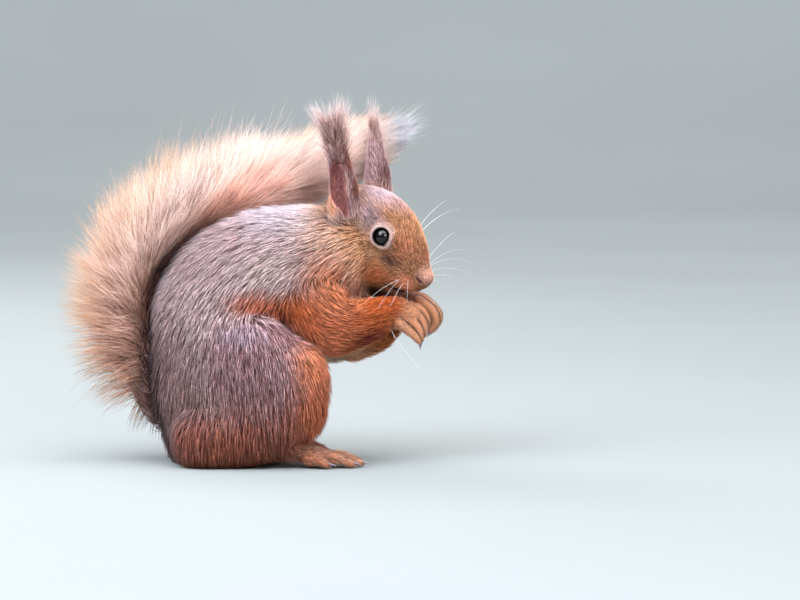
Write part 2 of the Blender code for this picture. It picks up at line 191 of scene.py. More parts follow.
CHEEK_HAIR = Hair("head", 4.0, 0.17, 1.6, 8.0, (240, 150, 82), (255, 214, 158), along=-1)
EAR_HAIR = Hair("ear", 3.2, 0.15, 0.9, 8.0, (134, 88, 84), (192, 158, 162), along=1)
TAIL_HAIR = Hair("tail", 9.0, 0.3, 3.0, 0.6, (150, 92, 72), (192, 134, 110), along=1)

TRUNK = (
    (5.5, 0, 13, 27.5, 30),
    (0.5, 0, 33, 28.5, 33),
    (1, 0, 54.5, 29, 32),
    (4, 0, 64.5, 30.5, 31.2),
    (10.5, 0, 74.5, 29.5, 29),
    (24.5, 0, 83.5, 26, 26),
    (40, 0, 86, 22.5, 22.5),
    (51.5, -1, 88.5, 20, 19),
)
NECK = ((41, 0, 87.5, 22, 20), (50.5, -1, 91, 20.5, 18.5), (58, -2, 94, 18, 17))
CHEST = ((36.5, 0, 69.5, 20, 18), (46, 0, 64.5, 21, 19), (54, -1, 62, 17, 15))
SKULL = (
    (-19, 0, -1, 14, 14.5),
    (-12, 0, 1.2, 18.3, 16.3),
    (-4, 0, 2, 19.2, 16.5),
    (4, 0, 1, 17.2, 15),
    (12, 0, -0.6, 14.2, 11.6),
    (19, 0, -1.6, 9.8, 8.2),
    (24, 0, 0, 5.4, 5.2),
)
CHEEK = ((-7, 8.5, -8.5, 9, 7.5), (3, 7.5, -9, 8, 6.8), (11, 4.5, -7.5, 6, 5))
JAW = ((-2, 0, -12, 7.5, 8), (7, 0, -14, 7.5, 6), (15, 0, -12, 5.2, 4.4))
WHISKER_PAD = ((13, 5.4, -3.8, 5.4, 4.4), (18, 4.4, -4.4, 4.6, 3.9), (21.4, 3.1, -4.2, 3.4, 3))
NOSE = ((21.6, 0, 1.0, 4.2, 4.8), (25.0, 0, 0.8, 3.3, 4.0))
ORBIT = ((0, 10.2, 7.0, 6.4, 6.4), (2.6, 10.0, 7.6, 6.4, 6.4))
EAR = {
    "right": (
        (56, -13, 106.5, 5, 7.6),
        (55.4, -15, 117, 4.5, 7),
        (54, -16.5, 127.5, 3.8, 5.4),
        (52, -17.5, 137.5, 3, 3.9),
        (50.5, -18, 143.5, 1.6, 2),
    ),
    "left": (
        (70, 10, 113, 5, 7.4),
        (69.8, 11.5, 124.5, 4.3, 6.2),
        (69, 12.5, 134, 3.4, 4.3),
        (68, 13, 142, 1.8, 2),
    ),
}
EAR_CUP = {  # places on the ear's middle plane, then half depth and half width of its hollow
    "right": (
        (51.6, -16.4, 128.5, 1.6, 1.6),
        (51.6, -15.8, 123, 2.8, 3.1),
        (52.0, -14.9, 116, 3.0, 3.6),
        (54.4, -13.6, 110, 2.4, 2.0),
        (55.4, -13.0, 105.5, 1.6, 1.1),
    ),
    "left": ((71.5, 10.5, 118, 2.2, 3.2), (70.6, 11.6, 125, 2.6, 3.6), (69.4, 12.4, 133, 1.8, 2.2)),
}
EAR_CUP_OUT = 2.9  # from that plane to the ear's front
EAR_FACES = {"right": unit(np.array((0.35, -1, 0))), "left": unit(np.array((0.55, 0.83, 0)))}
UPPER_ARM = {
    "right": ((37.5, -14, 76, 15, 9), (45, -18, 66, 14, 9), (52, -19, 58, 11, 8.5)),
    "left": ((40, 14, 74, 15, 9), (49.5, 19, 61, 13, 9), (59, 20, 51.5, 9.5, 8)),
}
FOREARM = {
    "right": (
        (51, -19, 57.5, 11, 8.5),
        (64, -16, 61.5, 9.8, 7.5),
        (73.5, -12, 65, 7.5, 6),
        (79.5, -8.5, 67, 5.8, 5),
    ),
    "left": ((59, 20, 51, 9.5, 8), (70, 16, 55, 8.5, 7), (78.5, 10, 63, 6, 5.5), (83, 6, 68, 5, 4.5)),
}
PALM = {
    "right": ((77, -9.5, 64.5, 6.8, 4.8), (81, -8.6, 64, 6.4, 5), (84.5, -7.6, 63.5, 5, 4.6)),
    "left": (
        (82.5, 5.5, 68, 5.5, 4.5),
        (88, 4.5, 68, 5.2, 5),
        (91.8, 4.2, 65, 4.4, 4.8),
        (92.8, 4.2, 61, 3.4, 4.2),
    ),
}
FINGERS = {  # (x, z) of each finger's joints, from the palm to the tip
    "right": (
        ((78.5, 61), (82.8, 57.6), (86, 54.8), (87.6, 52.6)),
        ((80, 63.5), (85.2, 60.6), (88, 56.8), (88.8, 53.4)),
        ((82, 66), (87.3, 63.4), (90, 59.2), (90, 55.2)),
        ((84, 67.6), (88.8, 65.4), (91, 61.2), (90.6, 57.4)),
    ),
    "left": (
        ((87.5, 69.5), (93, 65.5), (95, 60.5), (92.5, 56.5)),
        ((88, 70), (94.2, 66.2), (96.2, 60.8), (93.2, 56)),
        ((88, 70), (94.2, 66.2), (96.6, 61.5), (94.5, 57)),
        ((88, 69.5), (93, 66), (95.5, 62), (94.5, 58.5)),
    ),
}
FINGER_RADII = (2.6, 2.4, 2.0, 1.5)
FINGER_ROWS = {"right": (-12.6, 2.3), "left": (0.6, 2.7)}  # y of the first, and the step to the next
THIGH = ((3, 18, 48, 22, 14), (16, 24, 37.5, 27, 16), (36.5, 27, 34.5, 19, 13))
LOWER_LEG = ((34.5, 27, 25, 15, 12), (17, 27, 16, 15, 12), (-3, 24, 11, 15, 14))
HIND_FOOT = ((20, 27, 8.5, 4, 4.8), (30, 27, 8.2, 3.6, 4.4), (39, 26.8, 6, 3.6, 4.8), (46, 26, 4, 4.2, 6))
TOES = (  # (x, y) of each toe's root and tip, then its height between them
    ((41, 22.5), (51, 18), 4.2),
    ((44, 24), (59, 21.5), 4.9),
    ((45, 26), (62.5, 26), 5.3),
    ((44, 28), (59, 30.5), 4.7),
    ((40, 30), (48.5, 34), 4.0),
)
TOE_RADII = (2.5, 2.2, 1.65)
TOE_ROOT_HEIGHT = 3.6
TOE_TIP_HEIGHT = 1.9
LEG_BACK = {"right": 0.0, "left": 4.5}  # how much further back the left leg and foot are
FOOT_BACK = {"right": 0.0, "left": 15.5}
# The tail's bone: nearer the back than the middle of its hair. Half depth, then half width.
TAIL_BONE = (
    (-14, 0, 17, 8, 9),
    (-23, 0, 26, 7.5, 9),
    (-29.5, 0, 38, 6.5, 8.5),
    (-33.5, 0, 52, 6, 8.5),
    (-34.5, 0, 67, 5.6, 8.2),
    (-32, 1, 80, 5.4, 8),
    (-24.5, 3, 92.5, 5.2, 7.6),
    (-13, 6, 102.5, 5, 7.4),
    (1, 9, 110, 4.6, 7),
    (16, 13, 115, 4.4, 6.4),
    (30, 18, 119.5, 4, 5.8),
    (42, 23, 124, 3.6, 5),
    (52, 28, 128.5, 3.2, 4.2),
    (60, 31, 131.5, 2.6, 3),
    (65, 32.5, 133.5, 1.6, 1.8),
)
TAIL_COAT = (  # the outline of the tail's hair
    (-20, 0, 14, 9, 9),
    (-29, 0, 20.5, 14, 13),
    (-39, 0, 31.5, 18.5, 19),
    (-45.5, 0, 47.5, 20.5, 22),
    (-47.5, 0, 66, 20, 24),
    (-45, 1, 84, 20.5, 25),
    (-34.5, 3, 100.5, 21.4, 25),
    (-19.4, 6, 114.2, 20.8, 24.5),
    (-2.6, 9, 120.4, 18.4, 22.5),
    (15, 13, 122.8, 15.9, 20.5),
    (32, 19, 124.8, 15.8, 18.5),
    (47.5, 25, 131.5, 13.5, 16),
    (60, 31, 136, 12.5, 14),
    (72, 35, 139.5, 10.5, 11),
    (79.5, 36, 142, 7, 7),
)
TAIL_UP = (-1, 0, 0.001)


def finger_sections(name):
    """Sections of each finger of a hand."""
    first, step = FINGER_ROWS[name]
    return [
        [(x, first + step * i, z, r, r * 0.92) for (x, z), r in zip(joints, FINGER_RADII)]
        for i, joints in enumerate(FINGERS[name])
    ]


def toe_sections(side, name):
    """Sections of each toe of a hind foot."""
    toes = []
    for (root_x, root_y), (tip_x, tip_y), arch in TOES:
        middle = ((root_x + tip_x) / 2, (root_y + tip_y) / 2, arch - 0.2)
        places = ((root_x, root_y, TOE_ROOT_HEIGHT), middle, (tip_x, tip_y, TOE_TIP_HEIGHT))
        sections = [(*place, r, r) for place, r in zip(places, TOE_RADII)]
        toes.append(mirrored(sections, side, FOOT_BACK[name]))
    return toes


def middle_forms():
    skull, jaw, nose = head_sections(SKULL), head_sections(JAW), head_sections(NOSE)
    return [
        Form("trunk", TRUNK, (-1, 0, 0.2), coat=2.2, blend=6, hair=BACK),
        Form("neck", NECK, (-0.3, 0, 1), coat=2.2, blend=6, hair=NECK_HAIR),
        Form("chest", CHEST, coat=2.4, blend=5, hair=CHEST_HAIR),
        Form("skull", skull, HEAD_UP, coat=1.7, end=2.2, hair=HEAD_HAIR),
        Form("jaw", jaw, HEAD_UP, coat=0.2, blend=4, hair=HEAD_HAIR),
        Form("nose", nose, HEAD_UP, coat=0.3, blend=2.4, end=1.9, hair=HEAD_HAIR),
        Form("tail", TAIL_BONE, TAIL_UP, hair=TAIL_HAIR),
    ]


def head_side_forms(side, name):
    cheek, orbit = head_sections(CHEEK, side), head_sections(ORBIT, side)
    pad = head_sections(WHISKER_PAD, side)
    return [
        Form("cheek", cheek, HEAD_UP, coat=1.5, blend=4, hair=CHEEK_HAIR),
        Form("orbit", orbit, HEAD_UP, coat=0.6, hair=HEAD_HAIR),
        Form("pad", pad, HEAD_UP, coat=0.4, blend=1.6, hair=HEAD_HAIR),
        Form("ear", EAR[name], EAR_FACES[name], coat=0.7, blend=2.5, hair=EAR_HAIR),
    ]


def arm_forms(name):
    return [
        Form("upper_arm", UPPER_ARM[name], (1, 0, 0.5), coat=1.9, blend=4, hair=UPPER_ARM_HAIR),
        Form("forearm", FOREARM[name], coat=1.4, hair=FOREARM_HAIR),
        Form("palm", PALM[name], coat=0.6, blend=1.5, hair=PAW_HAIR),
    ] + [
        Form("finger", finger, (0, 1, 0), coat=0.35, blend=0.4, hair=FINGER_HAIR)
        for finger in finger_sections(name)
    ]


def leg_forms(side, name):
    thigh, shin = (mirrored(part, side, LEG_BACK[name]) for part in (THIGH, LOWER_LEG))
    foot = mirrored(HIND_FOOT, side, FOOT_BACK[name])
    return [
        Form("thigh", thigh, (-0.3, 0, 1), coat=2.2, blend=6, hair=THIGH_HAIR),
        Form("shin", shin, coat=2.0, blend=5, hair=SHIN_HAIR),
        Form("foot", foot, coat=0.5, blend=1.5, hair=PAW_HAIR),
    ] + [Form("toe", toe, coat=0.2, blend=0.5, hair=PAW_HAIR) for toe in toe_sections(side, name)]


FORMS = middle_forms()
for side, name in SIDES:
    FORMS += head_side_forms(side, name) + arm_forms(name) + leg_forms(side, name)
TAIL_OUTLINE = Form("coat", TAIL_COAT, TAIL_UP)


def melt(a, b, width):
    """The lower of a and b, rounded where they are within width of each other."""
    h = np.maximum(width - np.abs(a - b), 0) / width
    return np.minimum(a, b) - h * h * width / 4


def hollow(a, cutter, width):
    """a with the cutter taken away, its edge rounded."""
    return -melt(-a, cutter, width)


# ---- hollows in the skin

EYE_CENTRE = (1.3, 10.7, 7.3)  # in the head's frame, for the left eye
EYE_RADIUS = 4.7
EYE_GAP = 0.12  # between the eyeball and its socket
EYE_OUT = unit(np.array((0.10, 0.94, 0.28)))
EYE_FORWARD = (0.86, 0, -0.30)
EYE_LONG = 3.75  # half the length of the lids' opening
EYE_HIGH = 3.5  # half its height
EYE_REACH = 11  # the lids change the skin no further out than this
# The raised lid and the fold beyond it: how high or deep, then where and how wide, in openings.
LID_RAISED, LID_AT, LID_WIDE = 0.35, 1.35, 0.3
FOLD_DEEP, FOLD_AT, FOLD_WIDE = 0.45, 1.85, 0.14


def eye_axes(side):
    """Centre, outward, forward and upward axes of an eye."""
    out = HEAD_AXES @ (EYE_OUT * (1, side, 1))
    forward = HEAD_AXES @ np.array(EYE_FORWARD)
    forward = unit(forward - out * (forward @ out))
    x, y, z = EYE_CENTRE
    return in_head((x, side * y, z)), out, forward, np.cross(out, forward) * -side


def eye_plane(points, side):
    """Where points lie before an eye: out of its centre, round its opening (1 at the lids), and
    how far up the opening, whose front corner is drawn down."""
    centre, *axes = eye_axes(side)
    o, f, u = ((points - centre) @ axis for axis in axes)
    corner = np.clip(f / EYE_LONG, 0, 1.05) ** 3
    u_bent = (u + 0.6 * corner) / (EYE_HIGH * (1 - 0.15 * corner))
    return o, np.hypot(f / EYE_LONG, u_bent), u_bent


def cut_eyes(points, f):
    """The distance f with each eye's ball and the opening of its lids taken away, and the lids
    raised round it over one fold."""
    for side, _ in SIDES:
        ball = np.linalg.norm(points - eye_axes(side)[0], axis=1) - EYE_RADIUS
        o, ring, up = eye_plane(points, side)
        facing = soft_step((o + 1) / 2)
        f = f - LID_RAISED * np.exp(-(((ring - LID_AT) / LID_WIDE) ** 2)) * facing
        fold = FOLD_DEEP * np.exp(-(((ring - FOLD_AT) / FOLD_WIDE) ** 2))
        f = f + fold * soft_step(0.3 - up) * facing
        opening = np.maximum((ring - 1) * 3.4, 1.0 - o)
        f = hollow(hollow(f, ball, 0.3), opening, 0.6)
    return f


NOSTRIL = ((22.6, 5.1, 0.6, 0.2, 0.45), (23.9, 4.6, 0.0, 0.35, 0.65), (25.2, 3.9, -0.6, 0.35, 0.7))
MOUTH = ((27, 0, -6.4, 0.4, 1.5), (23, 0, -8.0, 0.7, 4.0), (18, 0, -9.4, 0.8, 6.5), (12, 0, -10.0, 0.5, 9))
PHILTRUM = ((28.4, 0, -1.5, 0.5, 0.35), (28.0, 0, -4.0, 0.5, 0.4), (26.8, 0, -6.6, 0.6, 0.45))


def ear_cup(name):
    """The hollow of an ear, moved out from its middle plane to its front."""
    out = EAR_FACES[name] * EAR_CUP_OUT
    return [(*(np.array(place) + out), tall, wide) for *place, tall, wide in EAR_CUP[name]]


def make_cutters():
    """Forms to take out of the skin, each with the width of its rounded edge."""
    cutters = [
        (Form("mouth", head_sections(MOUTH), HEAD_UP), 0.6),
        (Form("philtrum", head_sections(PHILTRUM), HEAD_UP), 0.5),
    ]
    cutters += [(Form("ear_cup", ear_cup(name), EAR_FACES[name]), 0.8) for _, name in SIDES]
    cutters += [(Form("nostril", head_sections(NOSTRIL, side), HEAD_UP), 0.5) for side, _ in SIDES]
    return cutters


CUTTERS = make_cutters()
FLOOR_LIFT = 0.05  # the skin's flats stand this far off the floor
SOLE_HEIGHT = 0.6  # no hair grows below it
HAIR_FLOOR = 0.12  # no hair reaches below it


def cutter_distance(points, *names):
    """Distance from the nearest of the cutters that have these names."""
    return np.min([cutter.distance(points) for cutter, _ in CUTTERS if cutter.name in names], axis=0)


# ---- the skin's mesh


def spaced(*stretches):
    """Grid lines from (start, stop, step) stretches that follow one another."""
    lines = [np.arange(start, stop, step) for start, stop, step in stretches]
    return np.concatenate([*lines, [stretches[-1][1]]])


FINE = 1.0
GRID_X = spaced((-52, 44, 1.5 * FINE), (44, 58, 0.75 * FINE), (58, 101, 0.5 * FINE))
GRID_Y = spaced(
    (-42, -37, 1.5), (-37, -24, 0.8 * FINE), (-24, 14, 0.55 * FINE), (14, 38, 0.8 * FINE), (38, 46, 1.5)
)
GRID_Z = spaced(
    (-0.7, 11, 0.7 * FINE),
    (11, 46, 1.4 * FINE),
    (46, 60, 0.75 * FINE),
    (60, 118, 0.52 * FINE),
    (118, 150, 0.9 * FINE),
)
GRID = (GRID_X, GRID_Y, GRID_Z)  # finest at the face and hands


def grid_block(low, high):
    """The part of the grid between two corners."""
    return tuple(
        slice(int(np.searchsorted(lines, lo)), int(np.searchsorted(lines, hi)))
        for lines, lo, hi in zip(GRID, low, high)
    )


def grid_points(block):
    axes = [lines[part] for lines, part in zip(GRID, block)]
    return np.stack(np.meshgrid(*axes, indexing="ij"), axis=-1)


def form_field(form):
    """A form's block of the grid, and its distance there."""
    field = np.full([len(lines) for lines in GRID], FAR, np.float32)
    for k in range(len(form.low)):
        block = grid_block(form.low[k], form.high[k])
        if all(part.stop > part.start for part in block):
            field[block] = np.minimum(field[block], form.segment(k, grid_points(block)))
    block = grid_block(form.low.min(axis=0), form.high.max(axis=0))
    return block, field[block]


def grid_distance():
    """The skin's distance at the grid's points, exact only near the skin."""
    total = np.full([len(lines) for lines in GRID], FAR, np.float32)
    for form in FORMS:
        block, field = form_field(form)
        total[block] = melt(total[block], field, form.blend)
    for cutter, width in CUTTERS:
        block, field = form_field(cutter)
        total[block] = hollow(total[block], field, width)
    for side, _ in SIDES:
        centre = eye_axes(side)[0]
        block = grid_block(centre - EYE_REACH, centre + EYE_REACH)
        points = grid_points(block)
        cut = cut_eyes(points.reshape(-1, 3), total[block].reshape(-1))
        total[block] = cut.reshape(points.shape[:-1])
    return np.maximum(total, (FLOOR_LIFT - GRID_Z).astype(np.float32)[None, None, :])


CELL_CORNERS = [(i, j, k) for i in (0, 1) for j in (0, 1) for k in (0, 1)]


def net_vertices(field, index):
    """For each cell, the middle of the places where the zero surface crosses its edges."""
    total, crossings = np.zeros((len(index), 3)), np.zeros(len(index))
    starts = [(axis, start) for axis in range(3) for start in CELL_CORNERS if not start[axis]]
    for axis, start in starts:
        a = index + start
        b = a.copy()
        b[:, axis] += 1
        fa, fb = field[tuple(a.T)], field[tuple(b.T)]
        crossed = (fa < 0) != (fb < 0)
        t = np.where(crossed, fa / np.where(crossed, fa - fb, 1), 0)
        place = np.stack([GRID[n][a[:, n]] for n in range(3)], axis=1)
        place[:, axis] += t * (GRID[axis][b[:, axis]] - GRID[axis][a[:, axis]])
        total += np.where(crossed[:, None], place, 0)
        crossings += crossed
    return total / crossings[:, None]


def net_quads(inside, number):
    """A quad round each grid edge that the surface crosses, through its four cells' vertices."""
    quads = []
    for axis in range(3):
        others = [n for n in range(3) if n != axis]
        lower = tuple(slice(0, -1) if n == axis else slice(1, -1) for n in range(3))
        upper = tuple(slice(1, None) if n == axis else slice(1, -1) for n in range(3))
        edge = np.stack(np.nonzero(inside[lower] != inside[upper]), axis=1)
        edge[:, others] += 1
        ring = []
        for steps in ((1, 1), (0, 1), (0, 0), (1, 0)):
            cell = edge.copy()
            cell[:, others] -= steps
            ring.append(number[tuple(cell.T)])
        quad = np.stack(ring, axis=1)
        flip = inside[tuple(edge.T)] == (axis == 1)
        quad[flip] = quad[flip][:, ::-1]
        quads.append(quad)
    return np.concatenate(quads)


def surface_net(field):
    """Vertices and quads of the field's zero surface, one vertex to each cell it crosses."""
    inside = field < 0
    cells = tuple(n - 1 for n in field.shape)
    shifted = [tuple(slice(o, o + n) for o, n in zip(corner, cells)) for corner in CELL_CORNERS]
    count = sum(inside[part].astype(np.int8) for part in shifted)
    active = np.flatnonzero((count > 0) & (count < len(CELL_CORNERS)))
    number = np.full(cells, -1, np.int64)
    number.reshape(-1)[active] = np.arange(len(active))
    index = np.stack(np.unravel_index(active, cells), axis=1)
    return net_vertices(field, index), net_quads(inside, number)


def new_object(name, mesh):
    obj = bpy.data.objects.new(name, mesh)
    bpy.context.scene.collection.objects.link(obj)
    return obj


def mesh_from(name, vertices, faces):
    """A mesh from an array of vertices in millimetres and an array of same-sided faces."""
    mesh = bpy.data.meshes.new(name)
    sides = faces.shape[1]
    mesh.vertices.add(len(vertices))
    mesh.vertices.foreach_set("co", (vertices * MM).astype(np.float32).ravel())
    mesh.loops.add(faces.size)
    mesh.loops.foreach_set("vertex_index", faces.astype(np.int32).ravel())
    mesh.polygons.add(len(faces))
    mesh.polygons.foreach_set("loop_start", np.arange(0, faces.size, sides, dtype=np.int32))
    mesh.polygons.foreach_set("use_smooth", np.ones(len(faces), bool))
    mesh.update()
    return mesh


def paint(mesh, colours):
    attribute = mesh.color_attributes.new("marking", "FLOAT_COLOR", "POINT")
    rows = np.ones((len(mesh.vertices), 4), np.float32)
    rows[:, :3] = colours / np.maximum(colours.max(axis=1, keepdims=True), 1)
    attribute.data.foreach_set("color", rows.ravel())


# ---- markings

PATCHES = (
    # Frame, centre, reach, colour and strength. "head" is in the head's own frame. "body" and
    # "head" count both sides alike, "ear" is felt on the ears alone and "side" on one side.
    ("body", (32, 0, 106), (26, 40, 15), (250, 236, 244), 0.85),  # painted highlight: pale lilac sheen on the nape
    ("body", (27, 30, 84), (19, 30, 13), (226, 196, 190), 0.7),  # grizzled behind the shoulder
    ("body", (19, 27, 72.5), (17, 20, 8), (192, 92, 44), 0.85),  # rust flank, over the thigh
    ("body", (32, 27, 69.5), (16, 20, 10), (212, 106, 48), 0.95),  # the same further forward
    ("body", (42, 28, 61), (11, 20, 10), (210, 108, 58), 0.95),  # the same behind the elbow
    ("body", (12, 28, 59), (14, 20, 6), (208, 184, 204), 0.5),  # painted highlight: lilac sheen on the top of the thigh
    ("body", (44, 34, 50), (17, 26, 24), (232, 140, 96), 0.95),  # orange front of the thigh
    ("body", (44, 30, 28), (19, 26, 22), (218, 120, 76), 0.95),  # the same at the knee
    ("body", (-18, 20, 34), (26, 50, 44), (142, 94, 92), 0.65),  # mauve lower back
    ("body", (14, 30, -4), (64, 50, 52), (150, 74, 44), 0.85),  # rust hem
    ("body", (-28, 0, 44), (14, 50, 44), (88, 44, 48), 0.95),  # painted shadow on the rump by the tail
    ("body", (54, 30, 80), (22, 34, 20), (250, 152, 100), 0.9),  # orange shoulder and throat side
    ("body", (60, 0, 47), (26, 14, 11), (255, 180, 124), 0.95),  # cream under the chest
    ("side", (64, 16, 50), (22, 13, 9), (255, 164, 100), 0.95),  # painted light on the inside of the far arm, in the near arm's shadow
    ("side", (66, 16, 44), (24, 14, 5), (255, 190, 150), 0.95),  # painted light, paler below it
    ("side", (86, 5, 70), (9, 7, 5), (190, 128, 122), 0.8),  # mauve back of the far hand
    ("side", (93, 5, 66), (4, 7, 9), (238, 196, 168), 0.7),  # pale fingers of the far hand
    ("body", (44, 0, 28), (27, 24, 42), (255, 244, 230), 1.0),  # white belly
    ("body", (72, 20, 69), (15, 18, 7), (222, 104, 36), 0.85),  # painted light on the top of the forearm
    ("side", (66, -20, 52.5), (18, 14, 9), (126, 38, 10), 1.0),  # painted shade under the forearm
    ("head", (-9, 9, 9), (13, 12, 10), (134, 112, 126), 0.9),  # grey temple
    ("head", (-12, 0, 19), (16, 13, 12), (222, 196, 206), 0.8),  # lilac crown
    ("head", (-2, 0, 18), (9, 10, 7), (152, 110, 100), 0.7),  # paler forehead
    ("head", (-12, 14, -7), (16, 13, 14), (255, 180, 112), 0.95),  # orange cheek
    ("head", (3, 11, -8), (19, 11, 9), (228, 116, 50), 0.85),  # orange jaw
    ("head", (10, 10, 1.5), (6, 7, 4.5), (96, 40, 8), 0.9),  # brown below the eye
    ("head", (11, 8, 8), (7, 8, 7), (176, 102, 62), 0.7),  # orange ahead of the eye
    ("head", (19, 0, 7), (10, 9, 7), (160, 98, 64), 0.85),  # tan bridge of the nose
    ("head", (23.5, 0, 2.5), (8, 8, 6), (255, 194, 170), 0.95),  # pale top of the nose
    ("head", (19, 6, -4.5), (9, 6, 6.5), (250, 156, 110), 0.9),  # whisker bed
    ("head", (6.4, 13.5, 7.4), (1.7, 4, 1.3), (46, 26, 24), 0.9),  # dark inner corner of the eye
    ("head", (11, 0, -15.5), (12, 13, 6.5), (84, 36, 32), 1.0),  # painted shadow under the lip and jaw
    ("ear", (54.5, -17, 138), (3.8, 12, 9), (112, 50, 22), 0.85),  # dark front edge of the near ear
    ("ear", (57.8, -17, 128), (4, 12, 9), (104, 40, 8), 0.95),  # the same halfway down it
    ("ear", (60.8, -15, 117), (4, 12, 9), (104, 42, 10), 0.95),  # the same, lower still
    ("ear", (50.8, -17, 109), (4.2, 8, 9), (206, 146, 112), 1.0),  # tan hair at the hollow's foot
    ("ear", (47.8, -15, 106), (3, 10, 9), (92, 42, 20), 0.95),  # dark fringe behind the hollow
    ("ear", (56.6, -17, 116), (1.7, 12, 11), (214, 172, 156), 0.7),  # pale rim ahead of the hollow
    ("ear", (72.8, 11, 121), (5, 12, 10), (92, 38, 34), 0.9),  # dark patch of the far ear
)
# Painted shadow in the crevice where the tail meets the back.
PAINTED_TAIL_SHADOW = linear(46, 26, 28)
PALE_TIP = linear(238, 210, 202)
LID_PINK = linear(216, 180, 172)
LID_RIM = linear(34, 24, 26)
MOUTH_RED = linear(70, 28, 30)
EAR_INSIDE = linear(140, 84, 80)


def folded(points):
    """The points with the right side's moved over to the left."""
    return np.stack([points[:, 0], np.abs(points[:, 1]), points[:, 2]], axis=1)


def form_shares(own):
    """How much each form is felt at each point, most where its own surface is nearest."""
    shares = np.exp(-np.clip(own - own.min(axis=1, keepdims=True), 0, 40) / 1.6)
    return shares / shares.sum(axis=1, keepdims=True)


def group_share(shares, group):
    return shares[:, [form.hair.group == group for form in FORMS]].sum(axis=1)


def mixed(colours, towards, share):
    return colours + (np.asarray(towards) - colours) * share[:, None]


def marking(points, shares):
    """The colour of the coat at the points, and that of its tips."""
    colour = shares @ np.array([form.hair.colour for form in FORMS])
    tip = shares @ np.array([form.hair.tip for form in FORMS])
    head, ear = group_share(shares, "head"), group_share(shares, "ear")
    body = 1 - head - ear - group_share(shares, "tail")
    frames = {
        "body": (folded(points), body),
        "head": (folded(to_head(points)), head),
        "ear": (points, ear),
        "side": (points, 1),
    }
    for frame_name, centre, reach, patch, strength in PATCHES:
        places, felt = frames[frame_name]
        off = (places - centre) / reach
        share = soft_step(1.3 * (1 - np.linalg.norm(off, axis=1))) * strength * felt
        shade = linear(*patch)
        colour = mixed(colour, shade, share)
        tip = mixed(tip, 0.05 + 0.95 * shade * min(1.45, 1 / shade.max()), share)
    # Painted shadow on the body along the tail's edge.
    tail_shadow = soft_step(1.4 - TAIL_OUTLINE.distance(points) / 4) * body
    colour, tip = mixed(colour, PAINTED_TAIL_SHADOW, tail_shadow), mixed(tip, PAINTED_TAIL_SHADOW * 2, tail_shadow)
    ring, up = eye_rings(points)
    pale = soft_step((1.6 + 0.45 * soft_step(up + 0.5) - ring) / 0.6) * 0.8
    cup = ear_cup_share(points)
    colour = mixed(mixed(colour, LID_PINK, pale), EAR_INSIDE, cup)
    return colour, mixed(mixed(tip, LID_PINK, pale), EAR_INSIDE * 1.7, cup)


def painted_crease_shade(own):
    """How deep the painted shade is at each point, most near the crease between two fingers or two toes."""
    digits = [i for i, form in enumerate(FORMS) if form.name in ("finger", "toe")]
    second = np.sort(own[:, digits], axis=1)[:, 1]
    return soft_step(1.25 - second / 1.1)


def ear_cup_share(points):
    return soft_step(1 - cutter_distance(points, "ear_cup") / 0.9)


def eye_rings(points):
    """Each point's place round the nearer eye, 1 at the lids' edge and large elsewhere, and how
    far up the eye."""
    nearest, height = np.full(len(points), 9.0), np.zeros(len(points))
    for side, _ in SIDES:
        out, ring, up = eye_plane(points, side)
        mine = (out > -2.5) & (ring < nearest)
        nearest, height = np.where(mine, ring, nearest), np.where(mine, up, height)
    return nearest, height


def bare_skin(points):
    """Where no hair grows: the lids' rims, the nose pad, the nostrils and the mouth's line."""
    nose = np.linalg.norm((to_head(points) - (28.2, 0, -2.6)) / (2.6, 3.4, 3.2), axis=1)
    mouth = cutter_distance(points, "mouth", "nostril")
    return (eye_rings(points)[0] < 1.14) | (nose < 1) | (mouth < 0.35)


# ---- the lie of the coat


def head_lie(points):
    """Back from ahead of the nose over the head, and falling on the cheeks."""
    local = to_head(points)
    way = unit(local - (36, 0, -4))
    way[:, 2] -= 0.35 * soft_step(-local[:, 2] / 10)
    return way @ HEAD_AXES.T


def lie(points, shares, normals):
    """Unit vectors along the skin, the way the hair lies."""
    flow = np.zeros((len(points), 3))
    for i, form in enumerate(FORMS):
        near = np.flatnonzero(shares[:, i] > 0.01)
        if not len(near):
            continue
        if form.hair.group == "head":
            way = head_lie(points[near])
        else:
            row = form.place(points[near])[0]
            way = form.along[row] * form.hair.along - np.array((0, 0, form.hair.down))
        flow[near] += shares[near, i, None] * way
    return unit(flow - normals * (flow * normals).sum(axis=1, keepdims=True), 1e-6)


def length_share(points):
    """Hair grows shorter towards the nose, round the eyes and in the ears' hollows."""
    from_nose = np.linalg.norm(to_head(points) - (28, 0, -3), axis=1)
    face = 0.34 + 0.66 * soft_step((from_nose - 3) / 26)
    eyes = 0.4 + 0.6 * soft_step((eye_rings(points)[0] - 1.1) / 1.9)
    return face * eyes * (1 - 0.4 * ear_cup_share(points))


